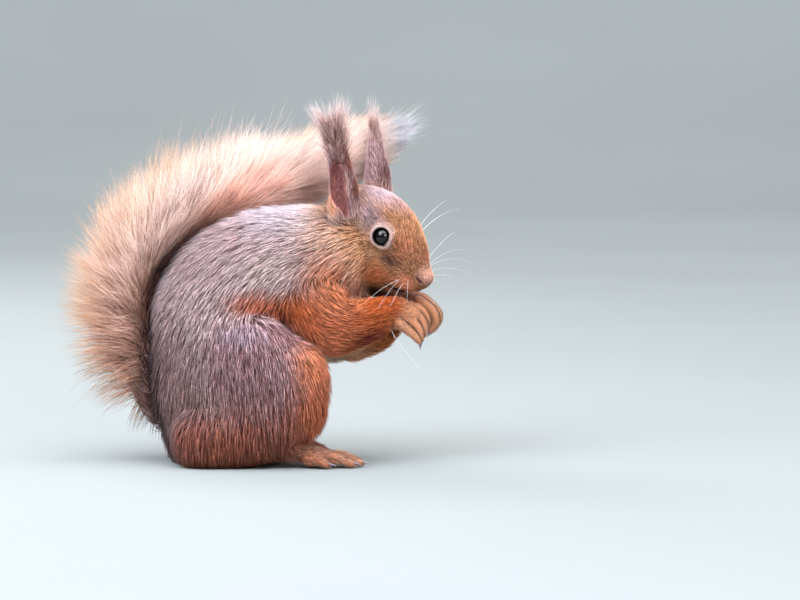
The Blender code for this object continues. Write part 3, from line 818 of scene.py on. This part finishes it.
class Skin:
    """The skin's mesh with what the coat needs at each of its vertices."""

    def __init__(self):
        vertices, quads = surface_net(grid_distance())
        self.obj = new_object("skin", mesh_from("skin", vertices, quads))
        normals = np.empty(len(vertices) * 3, np.float32)
        self.obj.data.vertex_normals.foreach_get("vector", normals)
        self.points, self.normals = vertices, normals.reshape(-1, 3).astype(float)
        self.triangles = np.concatenate([quads[:, [0, 1, 2]], quads[:, [0, 2, 3]]])
        own = np.stack([form.distance(vertices) for form in FORMS], axis=1)
        self.shares = form_shares(own)
        self.colour, self.tip = marking(vertices, self.shares)
        # Painted shade in the creases between fingers and between toes.
        crease_shade = painted_crease_shade(own)[:, None]
        self.colour, self.tip = self.colour * (1 - 0.75 * crease_shade), self.tip * (1 - 0.7 * crease_shade)
        self.flow = lie(vertices, self.shares, self.normals)
        settings = self.shares @ np.array([form.hair.values for form in FORMS])
        shortened = length_share(vertices)
        self.length, self.depth = settings[:, 0] * shortened, settings[:, 2] * shortened
        self.width = settings[:, 1]
        self.density = settings[:, 3] * ~bare_skin(vertices) * (vertices[:, 2] > SOLE_HEIGHT)
        self.form = self.shares.argmax(axis=1)

    def paint(self):
        """Undercoat under the fur, and the bare parts' own colours."""
        colours = mixed(self.colour * 0.4, self.colour * 0.7, group_share(self.shares, "paw"))
        ring = eye_rings(self.points)[0]
        colours = mixed(colours, LID_PINK * 0.7, soft_step((1.6 - ring) / 0.5))
        colours = mixed(colours, LID_RIM, soft_step((1.2 - ring) / 0.1))
        for cutter, _ in CUTTERS:
            spread = 0.4 if cutter.name == "nostril" else 0.8
            near = soft_step(1 - cutter.distance(self.points) / spread)
            if cutter.name in ("mouth", "nostril"):
                colours = mixed(colours, MOUTH_RED, near)
            if cutter.name == "ear_cup":
                colours = mixed(colours, EAR_INSIDE * 0.6, near * 0.8)
        paint(self.obj.data, colours)

    def roots(self, density):
        """Random places on the skin, so many to the square millimetre, as corners and shares."""
        a, b, c = (self.points[self.triangles[:, i]] for i in range(3))
        area = np.linalg.norm(np.cross(b - a, c - a), axis=1) / 2
        count = rng.poisson(area * density[self.triangles].mean(axis=1))
        faces = np.repeat(np.arange(len(count)), count)
        u, v = rng.random((2, len(faces)))
        over = u + v > 1
        u, v = np.where(over, 1 - u, u), np.where(over, 1 - v, v)
        return self.triangles[faces], np.stack([1 - u - v, u, v], axis=1)


def at_roots(values, corners, shares):
    """What values at the skin's vertices come to at the roots."""
    picked = values[corners]
    return (picked * shares.reshape(*shares.shape, *[1] * (picked.ndim - 2))).sum(axis=1)


# ---- strands of hair

RING = np.array([(np.cos(a), np.sin(a)) for a in (0, 2.0944, 4.1888)])
PATCH = 0.003  # the size of a tuft's place in the bake


def strand_pattern(rings):
    """One closed hair's triangles and its places in its patch of the bake."""
    faces = [(0, 2, 1)]
    places = [((0, 0), (1, 0), (0.5, 0.3))]
    for r in range(rings):
        for s in range(3):
            a, b = 3 * r + s, 3 * r + (s + 1) % 3
            low, high, left, right = r / rings, (r + 1) / rings, s / 3, (s + 1) / 3
            if r == rings - 1:
                faces.append((a, b, 3 * rings))
                places.append(((left, low), (right, low), ((s + 0.5) / 3, 1)))
            else:
                faces += [(a, b, b + 3), (a, b + 3, a + 3)]
                places.append(((left, low), (right, low), (right, high)))
                places.append(((left, low), (right, high), (left, high)))
    return np.array(faces), np.array(places, float)


def strand_vertices(paths, normals, widths):
    """Rings of three round each path but its last point, which is the tip."""
    ways = unit(np.gradient(paths, axis=1), 1e-9)
    across = unit(np.cross(ways, normals[:, None, :]), 1e-9)
    rise = np.cross(ways, across)
    rings = [
        paths[:, :-1] + widths[:, :, None] / 2 * (x * across[:, :-1] + y * 0.7 * rise[:, :-1])
        for x, y in RING
    ]
    ringed = np.stack(rings, axis=2).reshape(len(paths), -1, 3)
    return np.concatenate([ringed, paths[:, -1:]], axis=1)


def coat_piece(name, paths, normals, widths, colours, places, slot):
    """A joined mesh of closed hairs, painted and laid out for the bake."""
    rings = paths.shape[1] - 1
    vertices = strand_vertices(paths, normals, widths)
    vertices[..., 2] = np.maximum(vertices[..., 2], HAIR_FLOOR)
    faces, patch = strand_pattern(rings)
    count, each = vertices.shape[:2]
    triangles = (faces[None] + each * np.arange(count)[:, None, None]).reshape(-1, 3)
    mesh = mesh_from(name, vertices.reshape(-1, 3), triangles)
    vertex_rows = [*np.repeat(np.arange(rings), 3), rings]
    paint(mesh, colours[:, vertex_rows].reshape(-1, 3))
    layer = mesh.uv_layers.new(name="OFBake")
    uv = places[:, None, None, :] * (1 - PATCH) + patch[None] * PATCH
    layer.data.foreach_set("uv", uv.astype(np.float32).ravel())
    finished(new_object(name, mesh), hair_material(), slot)


def gathered(tips, per_tuft):
    """For each tip, the tip at the middle of its tuft."""
    middles = rng.choice(len(tips), max(1, len(tips) // per_tuft), replace=False)
    tree = kdtree.KDTree(len(middles))
    for i, m in enumerate(middles):
        tree.insert(tips[m], i)
    tree.balance()
    return tips[middles[[tree.find(tip)[1] for tip in tips]]]


def locks(points, size, spread):
    """A number for each point that neighbours about that near share, as hair in one lock does."""
    cells = np.floor((points + rng.normal(0, size * 0.3, points.shape)) / size).astype(np.int64)
    lock = np.unique(cells, axis=0, return_inverse=True)[1].reshape(-1)
    return rng.normal(0, spread, lock.max() + 1)[lock]


def unwrapped(form_number, along, angle):
    """Each root's place on its piece's unwrap: a tile to a form, the turn across, the spine up."""
    used = np.unique(form_number)
    columns = int(np.ceil(np.sqrt(len(used))))
    lines = int(np.ceil(len(used) / columns))
    places = np.zeros((len(form_number), 2))
    for n, i in enumerate(used):
        mine = form_number == i
        flat = np.stack([angle[mine], along[mine]], axis=1)
        flat = (flat - flat.min(axis=0)) / np.maximum(np.ptp(flat, axis=0), 1e-6)
        tile = np.array((n % columns, n // columns))
        places[mine] = (tile + 0.01 + 0.98 * flat) / (columns, lines)
    return places


GROUP_SLOTS = {
    "back": "grey_fur",
    "neck": "orange_fur",
    "chest": "orange_fur",
    "thigh": "thigh_fur",
    "arm": "orange_fur",
    "paw": "orange_fur",
    "head": "orange_fur",
    "ear": "ear_fur",
    "tail": "tail_fur",
}
LONG_HAIRED = ("back", "neck", "chest", "thigh", "arm")
SHORT_HAIRED = ("head", "ear", "paw")  # straight hairs, of root and tip alone
PALE_GUARDED = ("back", "thigh")  # their guard hairs' tips are the palest
GUARD_SHARE = (0.4, 0.25)  # how much of long hair, and of other hair, is guard hair
TUFT_SIZE = 6
TUFT_PULL = (0.42, 0.25)  # how far in a tuft draws the tips of long hair, and of other hair
GUARD_PULL = 0.4  # guard hairs are drawn in by this much of that
SUNK = 0.15  # how far under the skin a hair starts
HEAD_MIDDLE = -2.0  # y between the head's right and left pieces
DENSITY = 1.0


def surface_follower(skin):
    """Steps along the skin: from points, a way and a distance, to the skin's nearest place."""
    tree = BVHTree.FromPolygons(skin.points.tolist(), skin.triangles.tolist())

    def step(points, ways, distances):
        found = [tree.find_nearest(p) for p in points + ways * distances[:, None]]
        places = np.array([f[0] for f in found])
        faces = skin.triangles[[f[2] for f in found]]
        return places, skin.normals[faces].mean(axis=1), skin.flow[faces].mean(axis=1)

    return step


def laid_hairs(skin, root, flow, length, depth):
    """The middle and the end of each hair, which follows the skin and rises off it to its depth."""
    step = surface_follower(skin)
    middle, middle_normal, middle_flow = step(root, flow, length * 0.5)
    end, end_normal, _ = step(middle, middle_flow, length * 0.5)
    return middle + middle_normal * (depth * 0.62)[:, None], end + end_normal * depth[:, None]


def coat_shades(colour, tip, root, group, guard):
    """Each hair's colours at its root, middle and end. Guard hairs are the palest at the end."""
    speckled = np.isin(group, ("paw", "head")) | (ear_cup_share(root) > 0.3)
    streaks = np.where(speckled, locks(root, 1.0, 0.24), locks(root, 2.2, 0.1))
    bright = np.exp(rng.normal(0, 0.24, len(root)) + streaks)[:, None]
    plain = np.stack([colour * 0.3 * bright, colour * 0.76 * bright, tip * 0.78 * bright], axis=1)
    strong = 1 - tip[:, 2] / tip[:, 0]
    fade = 1 - 0.8 * soft_step((strong - 0.4) / 0.4)
    paler = mixed(tip, PALE_TIP, np.where(np.isin(group, PALE_GUARDED), 0.55, 0.15) * fade)
    guards = np.stack([colour * 0.4, (colour + tip) / 2, paler * 1.35], axis=1) * bright[:, None]
    return np.where(guard[:, None, None], guards, plain)


def root_places(form, root):
    """Each root's place on the unwrap of its piece, by its own form."""
    along, angle = np.zeros(len(root)), np.zeros(len(root))
    for i in np.unique(form):
        mine = form == i
        _, along[mine], angle[mine] = FORMS[i].place(root[mine])
    return unwrapped(form, along, angle)


def body_coat(skin):
    """Hair all over the skin but the tail's long coat, piece by piece."""
    corners, shares = skin.roots(skin.density * DENSITY)

    def here(values):
        return at_roots(values, corners, shares)

    root, normal, flow = here(skin.points), here(skin.normals), here(skin.flow)
    count = len(root)
    length = here(skin.length) * rng.uniform(0.7, 1.2, count)
    depth = here(skin.depth) * rng.uniform(0.55, 1.25, count)
    width = here(skin.width) * rng.uniform(0.75, 1.25, count)
    form = skin.form[corners[:, 0]]
    group = np.array([FORMS[i].hair.group for i in form])
    side = np.where(root[:, 1] < np.where(group == "head", HEAD_MIDDLE, 0.0), "right", "left")
    turn = rng.normal(0, 0.17, count) + locks(root, 4.5, 0.14)
    flow += np.cross(normal, flow) * turn[:, None]
    long_haired = np.isin(group, LONG_HAIRED)
    guard = rng.random(count) < np.where(long_haired, *GUARD_SHARE)
    length *= np.where(guard & long_haired, 1.2, 1.0)
    depth *= np.where(guard, 1.15, 0.95)
    middle, end = laid_hairs(skin, root, flow, length, depth)
    pull = np.where(long_haired, *TUFT_PULL) * np.where(guard, GUARD_PULL, 1)
    for name in GROUP_SLOTS:
        mine = np.flatnonzero(group == name)
        if len(mine) > 20:
            end[mine] += (gathered(end[mine], TUFT_SIZE) - end[mine]) * pull[mine, None]
    root = root - normal * SUNK
    shades = coat_shades(here(skin.colour), here(skin.tip), root, group, guard)
    for name, slot in GROUP_SLOTS.items():
        for _, which in SIDES:
            mine = np.flatnonzero((group == name) & (side == which))
            if not len(mine):
                continue
            if name in SHORT_HAIRED:
                paths = np.stack([root, end], axis=1)[mine]
                widths = width[mine, None]
                tints = shades[mine][:, [1, 2]] * np.array((0.7, 1.1))[None, :, None]
            else:
                paths = np.stack([root, middle, end], axis=1)[mine]
                widths = width[mine, None] * (1, 0.8)
                tints = shades[mine]
            places = root_places(form[mine], root[mine])
            coat_piece(f"coat_{name}_{which}", paths, normal[mine], widths, tints, places, slot)


# ---- the tail's long coat

TAIL_LEAN = (-1.5, 1.0, 4.2, 4.4)  # how far on the tips lie, in rows of the spine, base to tip
TAIL_LOCKS = ((60, 0.32), (10, 0.35))  # hairs to a lock, and how far in it draws their tips
TAIL_LOW = shade_row((120, 66, 50), (166, 106, 84), (196, 144, 122), (216, 174, 154))
TAIL_HIGH = shade_row((136, 94, 80), (192, 156, 142), (212, 184, 172), (232, 212, 204))
TAIL_INNER = shade_row((92, 44, 34), (150, 84, 66), (186, 122, 102), (212, 160, 140))
TAIL_WHITE = shade_row((160, 152, 158), (196, 202, 216), (212, 222, 238), (226, 234, 248))
TAIL_GOLD = linear(216, 156, 92)


class Tube:
    """A form by place along its spine, in rows, and angle round it."""

    def __init__(self, form):
        self.form = form
        self.last = len(form.centre) - 1

    def between(self, values, s):
        low = np.clip(s.astype(int), 0, len(values) - 2)
        part = (np.clip(s, 0, len(values) - 1) - low)[:, None]
        return values[low] + part * (values[low + 1] - values[low])

    def point(self, s, angle, share):
        """The point at that share of the way out to the form's surface."""
        tall, wide = self.between(self.form.radii, s).T * share
        out = self.between(self.form.depth, s) * (tall * np.cos(angle))[:, None]
        across = self.between(self.form.across, s) * (wide * np.sin(angle))[:, None]
        return self.between(self.form.centre, s) + out + across


BONE = Tube(Form("bone", TAIL_BONE, TAIL_UP))
OUTLINE = Tube(TAIL_OUTLINE)


def tail_shades(share, inner, golden):
    """The long hair's colours from root to tip: salmon below, cream above, white at the end,
    redder on the inner side towards the back and golden at the outline's ends."""
    upper = soft_step((share - 0.1) / 0.4)[:, None, None]
    shades = TAIL_LOW + (TAIL_HIGH - TAIL_LOW) * upper
    shades = shades + (TAIL_INNER - shades) * (inner * (share < 0.9))[:, None, None]
    shades = shades + (TAIL_WHITE - shades) * soft_step((share - 0.86) / 0.1)[:, None, None]
    gold = np.zeros((len(share), 4))
    gold[:, 2:] = (golden * (share < 0.85))[:, None] * (0.45, 1)
    return shades + (TAIL_GOLD - shades) * gold[:, :, None]


def curved(root, bend, tip, steps):
    """Paths of so many steps from root to tip, drawn towards bend."""
    t = np.linspace(0, 1, steps + 1)[None, :, None]
    return root[:, None] * (1 - t) ** 2 + 2 * t * (1 - t) * bend[:, None] + tip[:, None] * t**2


def tail_tips(s, angle, root, reach):
    """Where hair from these places on the bone ends, drawn together in large locks and small,
    and its share of the way to the outline."""
    count, share = len(s), s / BONE.last
    on = s + np.interp(share, (0, 0.12, 0.32, 1), TAIL_LEAN) * rng.uniform(0.4, 1.4, count)
    least, most = reach
    far = most - (most - least) * rng.random(count) ** 2.0
    far *= np.exp(np.clip(locks(root, 9.0, 0.08), -0.2, 0.07))
    ending = soft_step((on - BONE.last + 2.5) / 3.0) * (1 - np.sqrt(rng.random(count)))
    far *= 1 - ending
    far *= 1 + 0.45 * soft_step((-np.cos(angle) - 0.2) / 0.6) * soft_step((share - 0.45) / 0.2)
    tip = OUTLINE.point(on, angle + rng.normal(0, 0.16, count), far)
    past_end = np.clip(on - BONE.last, 0, 1.2) * 2.2 + ending * 4
    tip += BONE.between(BONE.form.along, s) * past_end[:, None]
    for size, pull in TAIL_LOCKS:
        tip += (gathered(tip, size) - tip) * pull
    return tip, far


def tail_paths(s, root, outward, tip, span, steps, curl):
    """Paths from the bone, out and along the tail to the tips, curling most at their ends."""
    along = BONE.between(BONE.form.along, s)
    bend = root + (along * 0.62 + outward * 0.3) * span * 0.55
    paths = curved(root, bend, tip, steps)
    t = np.linspace(0, 1, steps + 1)[None, :, None]
    sideways, onward = rng.uniform(-0.7, 0.7, (len(s), 1)), rng.uniform(-0.5, 1.3, (len(s), 1))
    sway = np.cross(outward, along) * sideways + along * onward - outward * np.abs(onward) * 0.5
    return paths + sway[:, None] * t**2.4 * curl * span[:, None]


def tail_tints(share, angle, far, tip, paths, dim):
    """The colours along each path: streaked by lock, painted darker on the outer side and brighter above
    in place of light and shade, and painted with the back's shadow near the back."""
    inner = soft_step((-np.cos(angle) - 0.5) / 0.5) * (0.85 - 0.75 * soft_step((share - 0.5) / 0.2))
    outer = soft_step((np.cos(angle) + 0.2) / 1.2) * soft_step((far - 0.85) / 0.2)
    shades = tail_shades(share + rng.normal(0, 0.02, len(share)), inner, outer * 0.85)
    shades = shades * np.exp(rng.normal(0, 0.2, len(share)) + locks(tip, 5.0, 0.1))[:, None, None]
    shades = shades[:, np.round(np.linspace(0, 3, paths.shape[1])).astype(int)] * dim
    # Painted light and shade: darker on the outer side, brighter in the tail's upper part.
    shades *= (1 - 0.32 * np.cos(angle) * soft_step((share - 0.2) / 0.3))[:, None, None]
    shades *= (0.95 + 0.3 * soft_step((share - 0.42) / 0.2))[:, None, None]
    # Painted shadow of the back on the tail's hair beside it.
    trunk = FORMS[0].distance(paths.reshape(-1, 3)).reshape(paths.shape[:2])
    back_shadow = soft_step(1.5 - (trunk - 2.5) / 6) * (1 - soft_step((share - 0.3) / 0.3))[:, None]
    return shades + (PAINTED_TAIL_SHADOW - shades) * back_shadow[:, :, None]


def tail_hairs(count, reach, steps, curl, width, slot, pieces, first, dim=1):
    """Long hair from the tail's bone out to its outline, leaning on towards the tip. Reach holds
    the least and the most share of the way to the outline, and first numbers the first piece."""
    count = int(count * DENSITY)
    s = np.sqrt(rng.random(count)) * 0.25 * BONE.last + rng.random(count) * 0.75 * BONE.last
    angle = rng.uniform(-np.pi, np.pi, count)
    root = BONE.point(s, angle, 0.8)
    outward = unit(root - BONE.point(s, angle, 0.0))
    tip, far = tail_tips(s, angle, root, reach)
    span = np.linalg.norm(tip - root, axis=1, keepdims=True)
    tip += rng.normal(0, 0.04, (count, 3)) * span
    paths = tail_paths(s, root, outward, tip, span, steps, curl)
    widths = rng.uniform(0.75, 1.25, count)[:, None] * np.linspace(width, width * 0.6, steps)[None]
    shades = tail_tints(s / BONE.last, angle, far, tip, paths, dim)
    for n, mine in enumerate(np.array_split(np.argsort(s), pieces)):
        places = unwrapped(np.zeros(len(mine), int), s[mine], angle[mine])
        name = f"coat_tail_{first + n}"
        coat_piece(name, paths[mine], outward[mine], widths[mine], shades[mine], places, slot)


def tail_coat():
    """Three layers: a thick one by the bone, the coat, and a few long curling wisps beyond it."""
    tail_hairs(16500, (0.4, 0.95), 2, 0.0, 0.33, "tail_fur", pieces=2, first=1)
    tail_hairs(15500, (0.78, 1.09), 3, 0.12, 0.27, "pale_tail_fur", pieces=3, first=3)
    tail_hairs(4600, (0.98, 1.15), 5, 0.4, 0.19, "pale_tail_fur", pieces=1, first=6, dim=0.8)


# ---- the ears' long tufts

EAR_TUFTS = {  # hairs, how far they fan out, and their length from the ear's middle to its tip
    "right": (1500, 0.5, (7, 14, 16)),
    "left": (800, -0.02, (6, 12, 15)),
}
EAR_TUFT_SHADES = shade_row((110, 52, 28), (152, 102, 84), (200, 168, 162), (226, 210, 212))


def ear_tuft(name):
    """Long hair from the upper half of an ear, up and fanning out."""
    amount, spread, reach = EAR_TUFTS[name]
    ear = Tube(Form("ear", EAR[name], EAR_FACES[name], coat=0.7))
    count = int(amount * DENSITY)
    s = ear.last * (0.42 + 0.58 * rng.random(count) ** 0.7)
    angle = rng.uniform(-np.pi, np.pi, count)
    angle = np.where((s < 0.56 * ear.last) & (np.cos(angle) > -0.1), angle + np.pi, angle)
    root = ear.point(s, angle, 0.8)
    side = unit(root - ear.point(s, angle, 0))
    length = np.interp(s / ear.last, (0.35, 0.8, 1), reach) * rng.uniform(0.4, 1.12, count)
    way = ear.between(ear.form.along, s) + np.array((0.1, 0, 0)) + side * spread
    way += rng.normal(0, 0.1, (count, 3))
    tip = root + way * length[:, None]
    tip += (gathered(tip, 9) - tip) * 0.35
    tip += rng.normal(0, 0.05, (count, 3)) * length[:, None]
    bend = root + (way * 0.9 + side * 0.12 + rng.normal(0, 0.14, (count, 3))) * length[:, None] / 2
    paths = curved(root, bend, tip, 3)
    widths = rng.uniform(0.1, 0.18, count)[:, None] * (1, 0.9, 0.5)
    shades = EAR_TUFT_SHADES[None] * np.exp(rng.normal(0, 0.2, count))[:, None, None]
    places = unwrapped(np.zeros(count, int), s, angle)
    coat_piece(f"ear_tuft_{name}", paths, side, widths, shades, places, "ear_fur")


# ---- materials


def add_node(made, kind, **inputs):
    """A new node of a material with its inputs set by name, where _ stands for a space."""
    node = made.node_tree.nodes.new("ShaderNode" + kind)
    for name, value in inputs.items():
        node.inputs[name.replace("_", " ")].default_value = value
    return node


def material(name, roughness, colour=None, grain=1500, spread=0.2, specular=0.5, bump=None):
    """A Principled material, coloured by the markings unless a colour is given, its shade varied
    by a noise of that grain. Bump is the strength and the distance of the noise's relief."""
    made = bpy.data.materials.new(name)
    made.use_nodes = True
    links = made.node_tree.links
    shader = made.node_tree.nodes["Principled BSDF"]
    shader.inputs["Roughness"].default_value = roughness
    shader.inputs["Specular IOR Level"].default_value = specular
    if colour is None:
        source = add_node(made, "Attribute")
        source.attribute_name = "marking"
    else:
        source = add_node(made, "RGB")
        source.outputs["Color"].default_value = (*colour, 1)
    where = add_node(made, "TexCoord")
    noise = add_node(made, "TexNoise", Scale=grain, Detail=3)
    shade = add_node(made, "MapRange", From_Min=0.3, From_Max=0.7, To_Min=1 - spread, To_Max=1 + spread)
    tinted = add_node(made, "VectorMath")
    tinted.operation = "SCALE"
    links.new(where.outputs["Object"], noise.inputs["Vector"])
    links.new(noise.outputs["Fac"], shade.inputs["Value"])
    links.new(source.outputs["Color"], tinted.inputs[0])
    links.new(shade.outputs["Result"], tinted.inputs["Scale"])
    links.new(tinted.outputs["Vector"], shader.inputs["Base Color"])
    if bump:
        strength, distance = bump
        relief = add_node(made, "Bump", Strength=strength, Distance=distance)
        links.new(noise.outputs["Fac"], relief.inputs["Height"])
        links.new(relief.outputs["Normal"], shader.inputs["Normal"])
    return made


def hair_material():
    if "hair" in bpy.data.materials:
        return bpy.data.materials["hair"]
    return material("hair", 0.5, grain=900, spread=0.18, specular=0.2)


# ---- eyes, claws and whiskers


def finished(piece, made, slot, *nodes):
    """Gives a piece its material and its body, and hides the nodes that it stands for. The slot is not used.
    """
    piece.data.materials.append(made)
    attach(piece, "root")
    if nodes:
        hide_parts(*nodes)


def ring_quads(rows, sides):
    """Quads between rings of so many points, the last side of each joined to its first."""
    here = np.arange(rows * sides).reshape(rows, sides)
    beside = np.roll(here, -1, axis=1)
    return np.stack([here[:-1], here[1:], beside[1:], beside[:-1]], axis=-1).reshape(-1, 4)


def level_rings(radii, heights, sides):
    """Rings of points round Z, each at its own radius and height."""
    turn = np.linspace(0, 2 * np.pi, sides, endpoint=False)
    circle = np.stack([np.cos(turn), np.sin(turn)], axis=1)
    return np.stack([np.column_stack([r * circle, np.full(sides, h)]) for r, h in zip(radii, heights)])


def closed(rings, first, last):
    """Vertices and triangles of rings joined into one closed body that ends in two points. The
    faces look outwards where the rings turn right-handed about the way from last to first."""
    rows, sides = rings.shape[:2]
    points = np.vstack([rings.reshape(-1, 3), [first, last]])
    quads = ring_quads(rows, sides)
    edge = np.arange(sides)
    beside = np.roll(edge, -1)
    far_edge, far_beside = edge + (rows - 1) * sides, beside + (rows - 1) * sides
    first_fan = np.stack([np.full(sides, len(points) - 2), edge, beside], axis=1)
    last_fan = np.stack([np.full(sides, len(points) - 1), far_beside, far_edge], axis=1)
    return points, np.vstack([quads[:, [0, 1, 2]], quads[:, [0, 2, 3]], first_fan, last_fan])


def ball(name, centre, radius, turns=64, rows=32):
    v = np.linspace(0, np.pi, rows + 1)[1:-1]
    rings = level_rings(np.sin(v), np.cos(v), turns)
    points, faces = closed(rings, (0, 0, 1), (0, 0, -1))
    return new_object(name, mesh_from(name, points * radius + centre, faces))


def eyes():
    made = material("eye", 0.04, linear(10, 6, 6), grain=400, spread=0.6, specular=0.42)
    for side, name in SIDES:
        piece = ball(f"eyeball_{name}", eye_axes(side)[0], EYE_RADIUS - EYE_GAP)
        finished(piece, made, "eye", f"eye_{name}")


def tube(path, radii, sides=8):
    """Vertices and triangles of a closed tapering tube along a path, whose rings turn
    right-handed about the path."""
    path = np.array(path, float)
    ways = unit(np.gradient(path, axis=0))
    a = unit(np.cross(ways, (0.13, 0.97, 0.21)))
    b = np.cross(ways, a)
    turn = np.linspace(0, 2 * np.pi, sides, endpoint=False)
    round_path = np.cos(turn)[:, None] * a[:, None] + np.sin(turn)[:, None] * b[:, None]
    rings = path[:, None] + np.array(radii)[:, None, None] * round_path
    points, faces = closed(rings, path[0], path[-1])
    return points, faces[:, ::-1]


def joined(name, tubes):
    """One object of several tubes."""
    points = np.vstack([tube_points for tube_points, _ in tubes])
    starts = np.cumsum([0] + [len(tube_points) for tube_points, _ in tubes])
    faces = np.vstack([tube_faces + start for (_, tube_faces), start in zip(tubes, starts)])
    return new_object(name, mesh_from(name, points, faces))


def claw(tip, way, length, radius, droop):
    """A claw from inside a digit's tip, curving down."""
    t = np.linspace(-0.35, 1, 8)
    out = np.clip(t, 0, 1)
    path = np.array(tip) + np.outer(t, unit(np.array(way, float))) * length - np.outer(out**2, (0, 0, droop))
    return tube(path, radius * (1 - 0.85 * out))


def finger_claw(finger):
    (x0, _, z0, *_), (x1, y, z1, *_) = finger[-2:]
    return claw((x1, y, z1), (x1 - x0 - 1.2, 0, z1 - z0), 3.4, 0.62, 0.2)


def toe_claw(toe):
    (x0, y0, *_), (x1, y1, z1, *_) = toe[-2:]
    return claw((x1, y1, z1 + 0.5), (x1 - x0, y1 - y0, 0.4), 4.6, 0.7, 1.5)


def claws():
    made = material("claw", 0.3, linear(132, 118, 128), grain=700, spread=0.45, bump=(0.2, 0.0001))
    front = [finger_claw(finger) for _, name in SIDES for finger in finger_sections(name)]
    back = [toe_claw(toe) for side, name in SIDES for toe in toe_sections(side, name)]
    finished(joined("claws_front", front), made, "bare_skin")
    finished(joined("claws_back", back), made, "bare_skin")


WHISKERS = (
    # root in the head's frame, then the free end in the body's, and how high it arches
    ((18, -6.0, -3.0), (64, -29, 70), 1.5),
    ((17, -6.5, -4.0), (70, -31, 68), 1.0),
    ((19, -5.6, -4.5), (75.5, -29, 69), 1.0),
    ((20, -5.2, -3.0), (82.5, -31, 71), 2.0),
    ((19, 6.0, -2.0), (103.6, 24, 98), 2.0),
    ((20, 5.6, -2.0), (107, 25, 90), 3.0),
    ((19, 6.0, -3.0), (111, 27, 84), 4.0),
    ((20, 5.4, -3.5), (112, 25, 78), 4.0),
    ((21, 5.0, -4.0), (110, 23, 74), 3.5),
    ((20, 5.2, -5.0), (106.5, 22, 69.5), 3.0),
    ((18, 6.0, -4.5), (99, 24, 66), 2.0),
    ((9, 7.5, 12.5), (105.5, 13, 108.5), 2.0),
    ((7, 8.0, 13.0), (100, 17, 112), 1.5),
    ((-2, -14.0, -8.0), (54, -27, 77), 0.8),
)
WRIST_WHISKERS = (((75, -13, 58.5), (88.5, -17, 41), -1.0), ((76, -13, 58), (81, -17, 44.5), -0.5))


def whisker(root, end, arch):
    t = np.linspace(0, 1, 12)[:, None]
    path = root + t * (np.array(end) - root) + 4 * t * (1 - t) * (0, 0, arch)
    return tube(path, 0.075 - 0.055 * t[:, 0], sides=4)


def whiskers():
    made = material("whisker", 0.4, linear(240, 236, 238), grain=300, spread=0.15)
    hairs = [whisker(in_head(root), end, arch) for root, end, arch in WHISKERS]
    hairs += [whisker(np.array(root, float), end, arch) for root, end, arch in WRIST_WHISKERS]
    finished(joined("whiskers", hairs), made, "bare_skin")


# ---- the studio


def lamp(name, place, aim, size, power, colour):
    data = bpy.data.lights.new(name, "AREA")
    data.shape = "RECTANGLE"
    data.size, data.size_y = size
    data.energy, data.color = power, colour
    obj = new_object(name, data)
    obj.location = place
    obj.rotation_euler = (Vector(aim) - Vector(place)).to_track_quat("-Z", "Y").to_euler()


def sweep():
    """A round floor that curves up into its own backdrop, so that no horizon shows."""
    radii = (0, 2200, 2600, 2950, 3200, 3350, 3400, 3400)
    heights = (0, 0, 60, 220, 480, 820, 1200, 2400)
    rings = level_rings(radii, heights, 96)
    floor = new_object("floor", mesh_from("floor", rings.reshape(-1, 3), ring_quads(*rings.shape[:2])))
    floor.data.materials.append(material("floor", 0.9, (0.24, 0.26, 0.26), grain=3, spread=0.03))


def camera():
    data = bpy.data.cameras.new("camera")
    data.lens, data.sensor_width = 209, 36
    data.clip_start, data.clip_end = 0.1, 20
    made = new_object("camera", data)
    aim = Vector((0.0795, 0, 0.0697))
    lift = np.radians(4)
    made.location = aim + Vector((0, -2 * np.cos(lift), 2 * np.sin(lift)))
    made.rotation_euler = (aim - made.location).to_track_quat("-Z", "Y").to_euler()
    bpy.context.scene.camera = made


def studio():
    middle = (0.02, 0, 0.07)
    lamp("sky", (0.0, -0.3, 1.2), middle, (1.6, 1.3), 38, (0.96, 0.97, 1))
    lamp("key", (0.6, -1.2, 0.6), middle, (0.6, 0.6), 8, (1, 0.97, 0.93))
    lamp("window", (-0.55, -0.8, 0.85), (0.07, 0, 0.1), (0.75, 0.65), 15, (0.74, 0.85, 1))
    lamp("backdrop", (0, 1.6, 2.2), (0, 3.4, 0.6), (2, 1), 70, (0.97, 0.98, 1))
    lamp("rim", (-0.7, 0.8, 0.7), middle, (0.8, 0.6), 12, (1, 0.98, 0.96))
    world = bpy.data.worlds.new("room")
    world.use_nodes = True
    background = world.node_tree.nodes["Background"].inputs
    background["Color"].default_value = (0.76, 0.8, 0.86, 1)
    background["Strength"].default_value = 0.85
    bpy.context.scene.world = world
    bpy.context.scene.view_settings.view_transform = "Standard"
    sweep()
    camera()


skin = Skin()
skin.paint()
flesh = [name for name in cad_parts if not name.startswith("eye_")]
skin_look = material("skin", 0.6, grain=1800, specular=0.35, bump=(0.35, 0.0002))
finished(skin.obj, skin_look, "orange_fur", *flesh)
body_coat(skin)
tail_coat()
for _, name in SIDES:
    ear_tuft(name)
eyes()
claws()
whiskers()
studio()
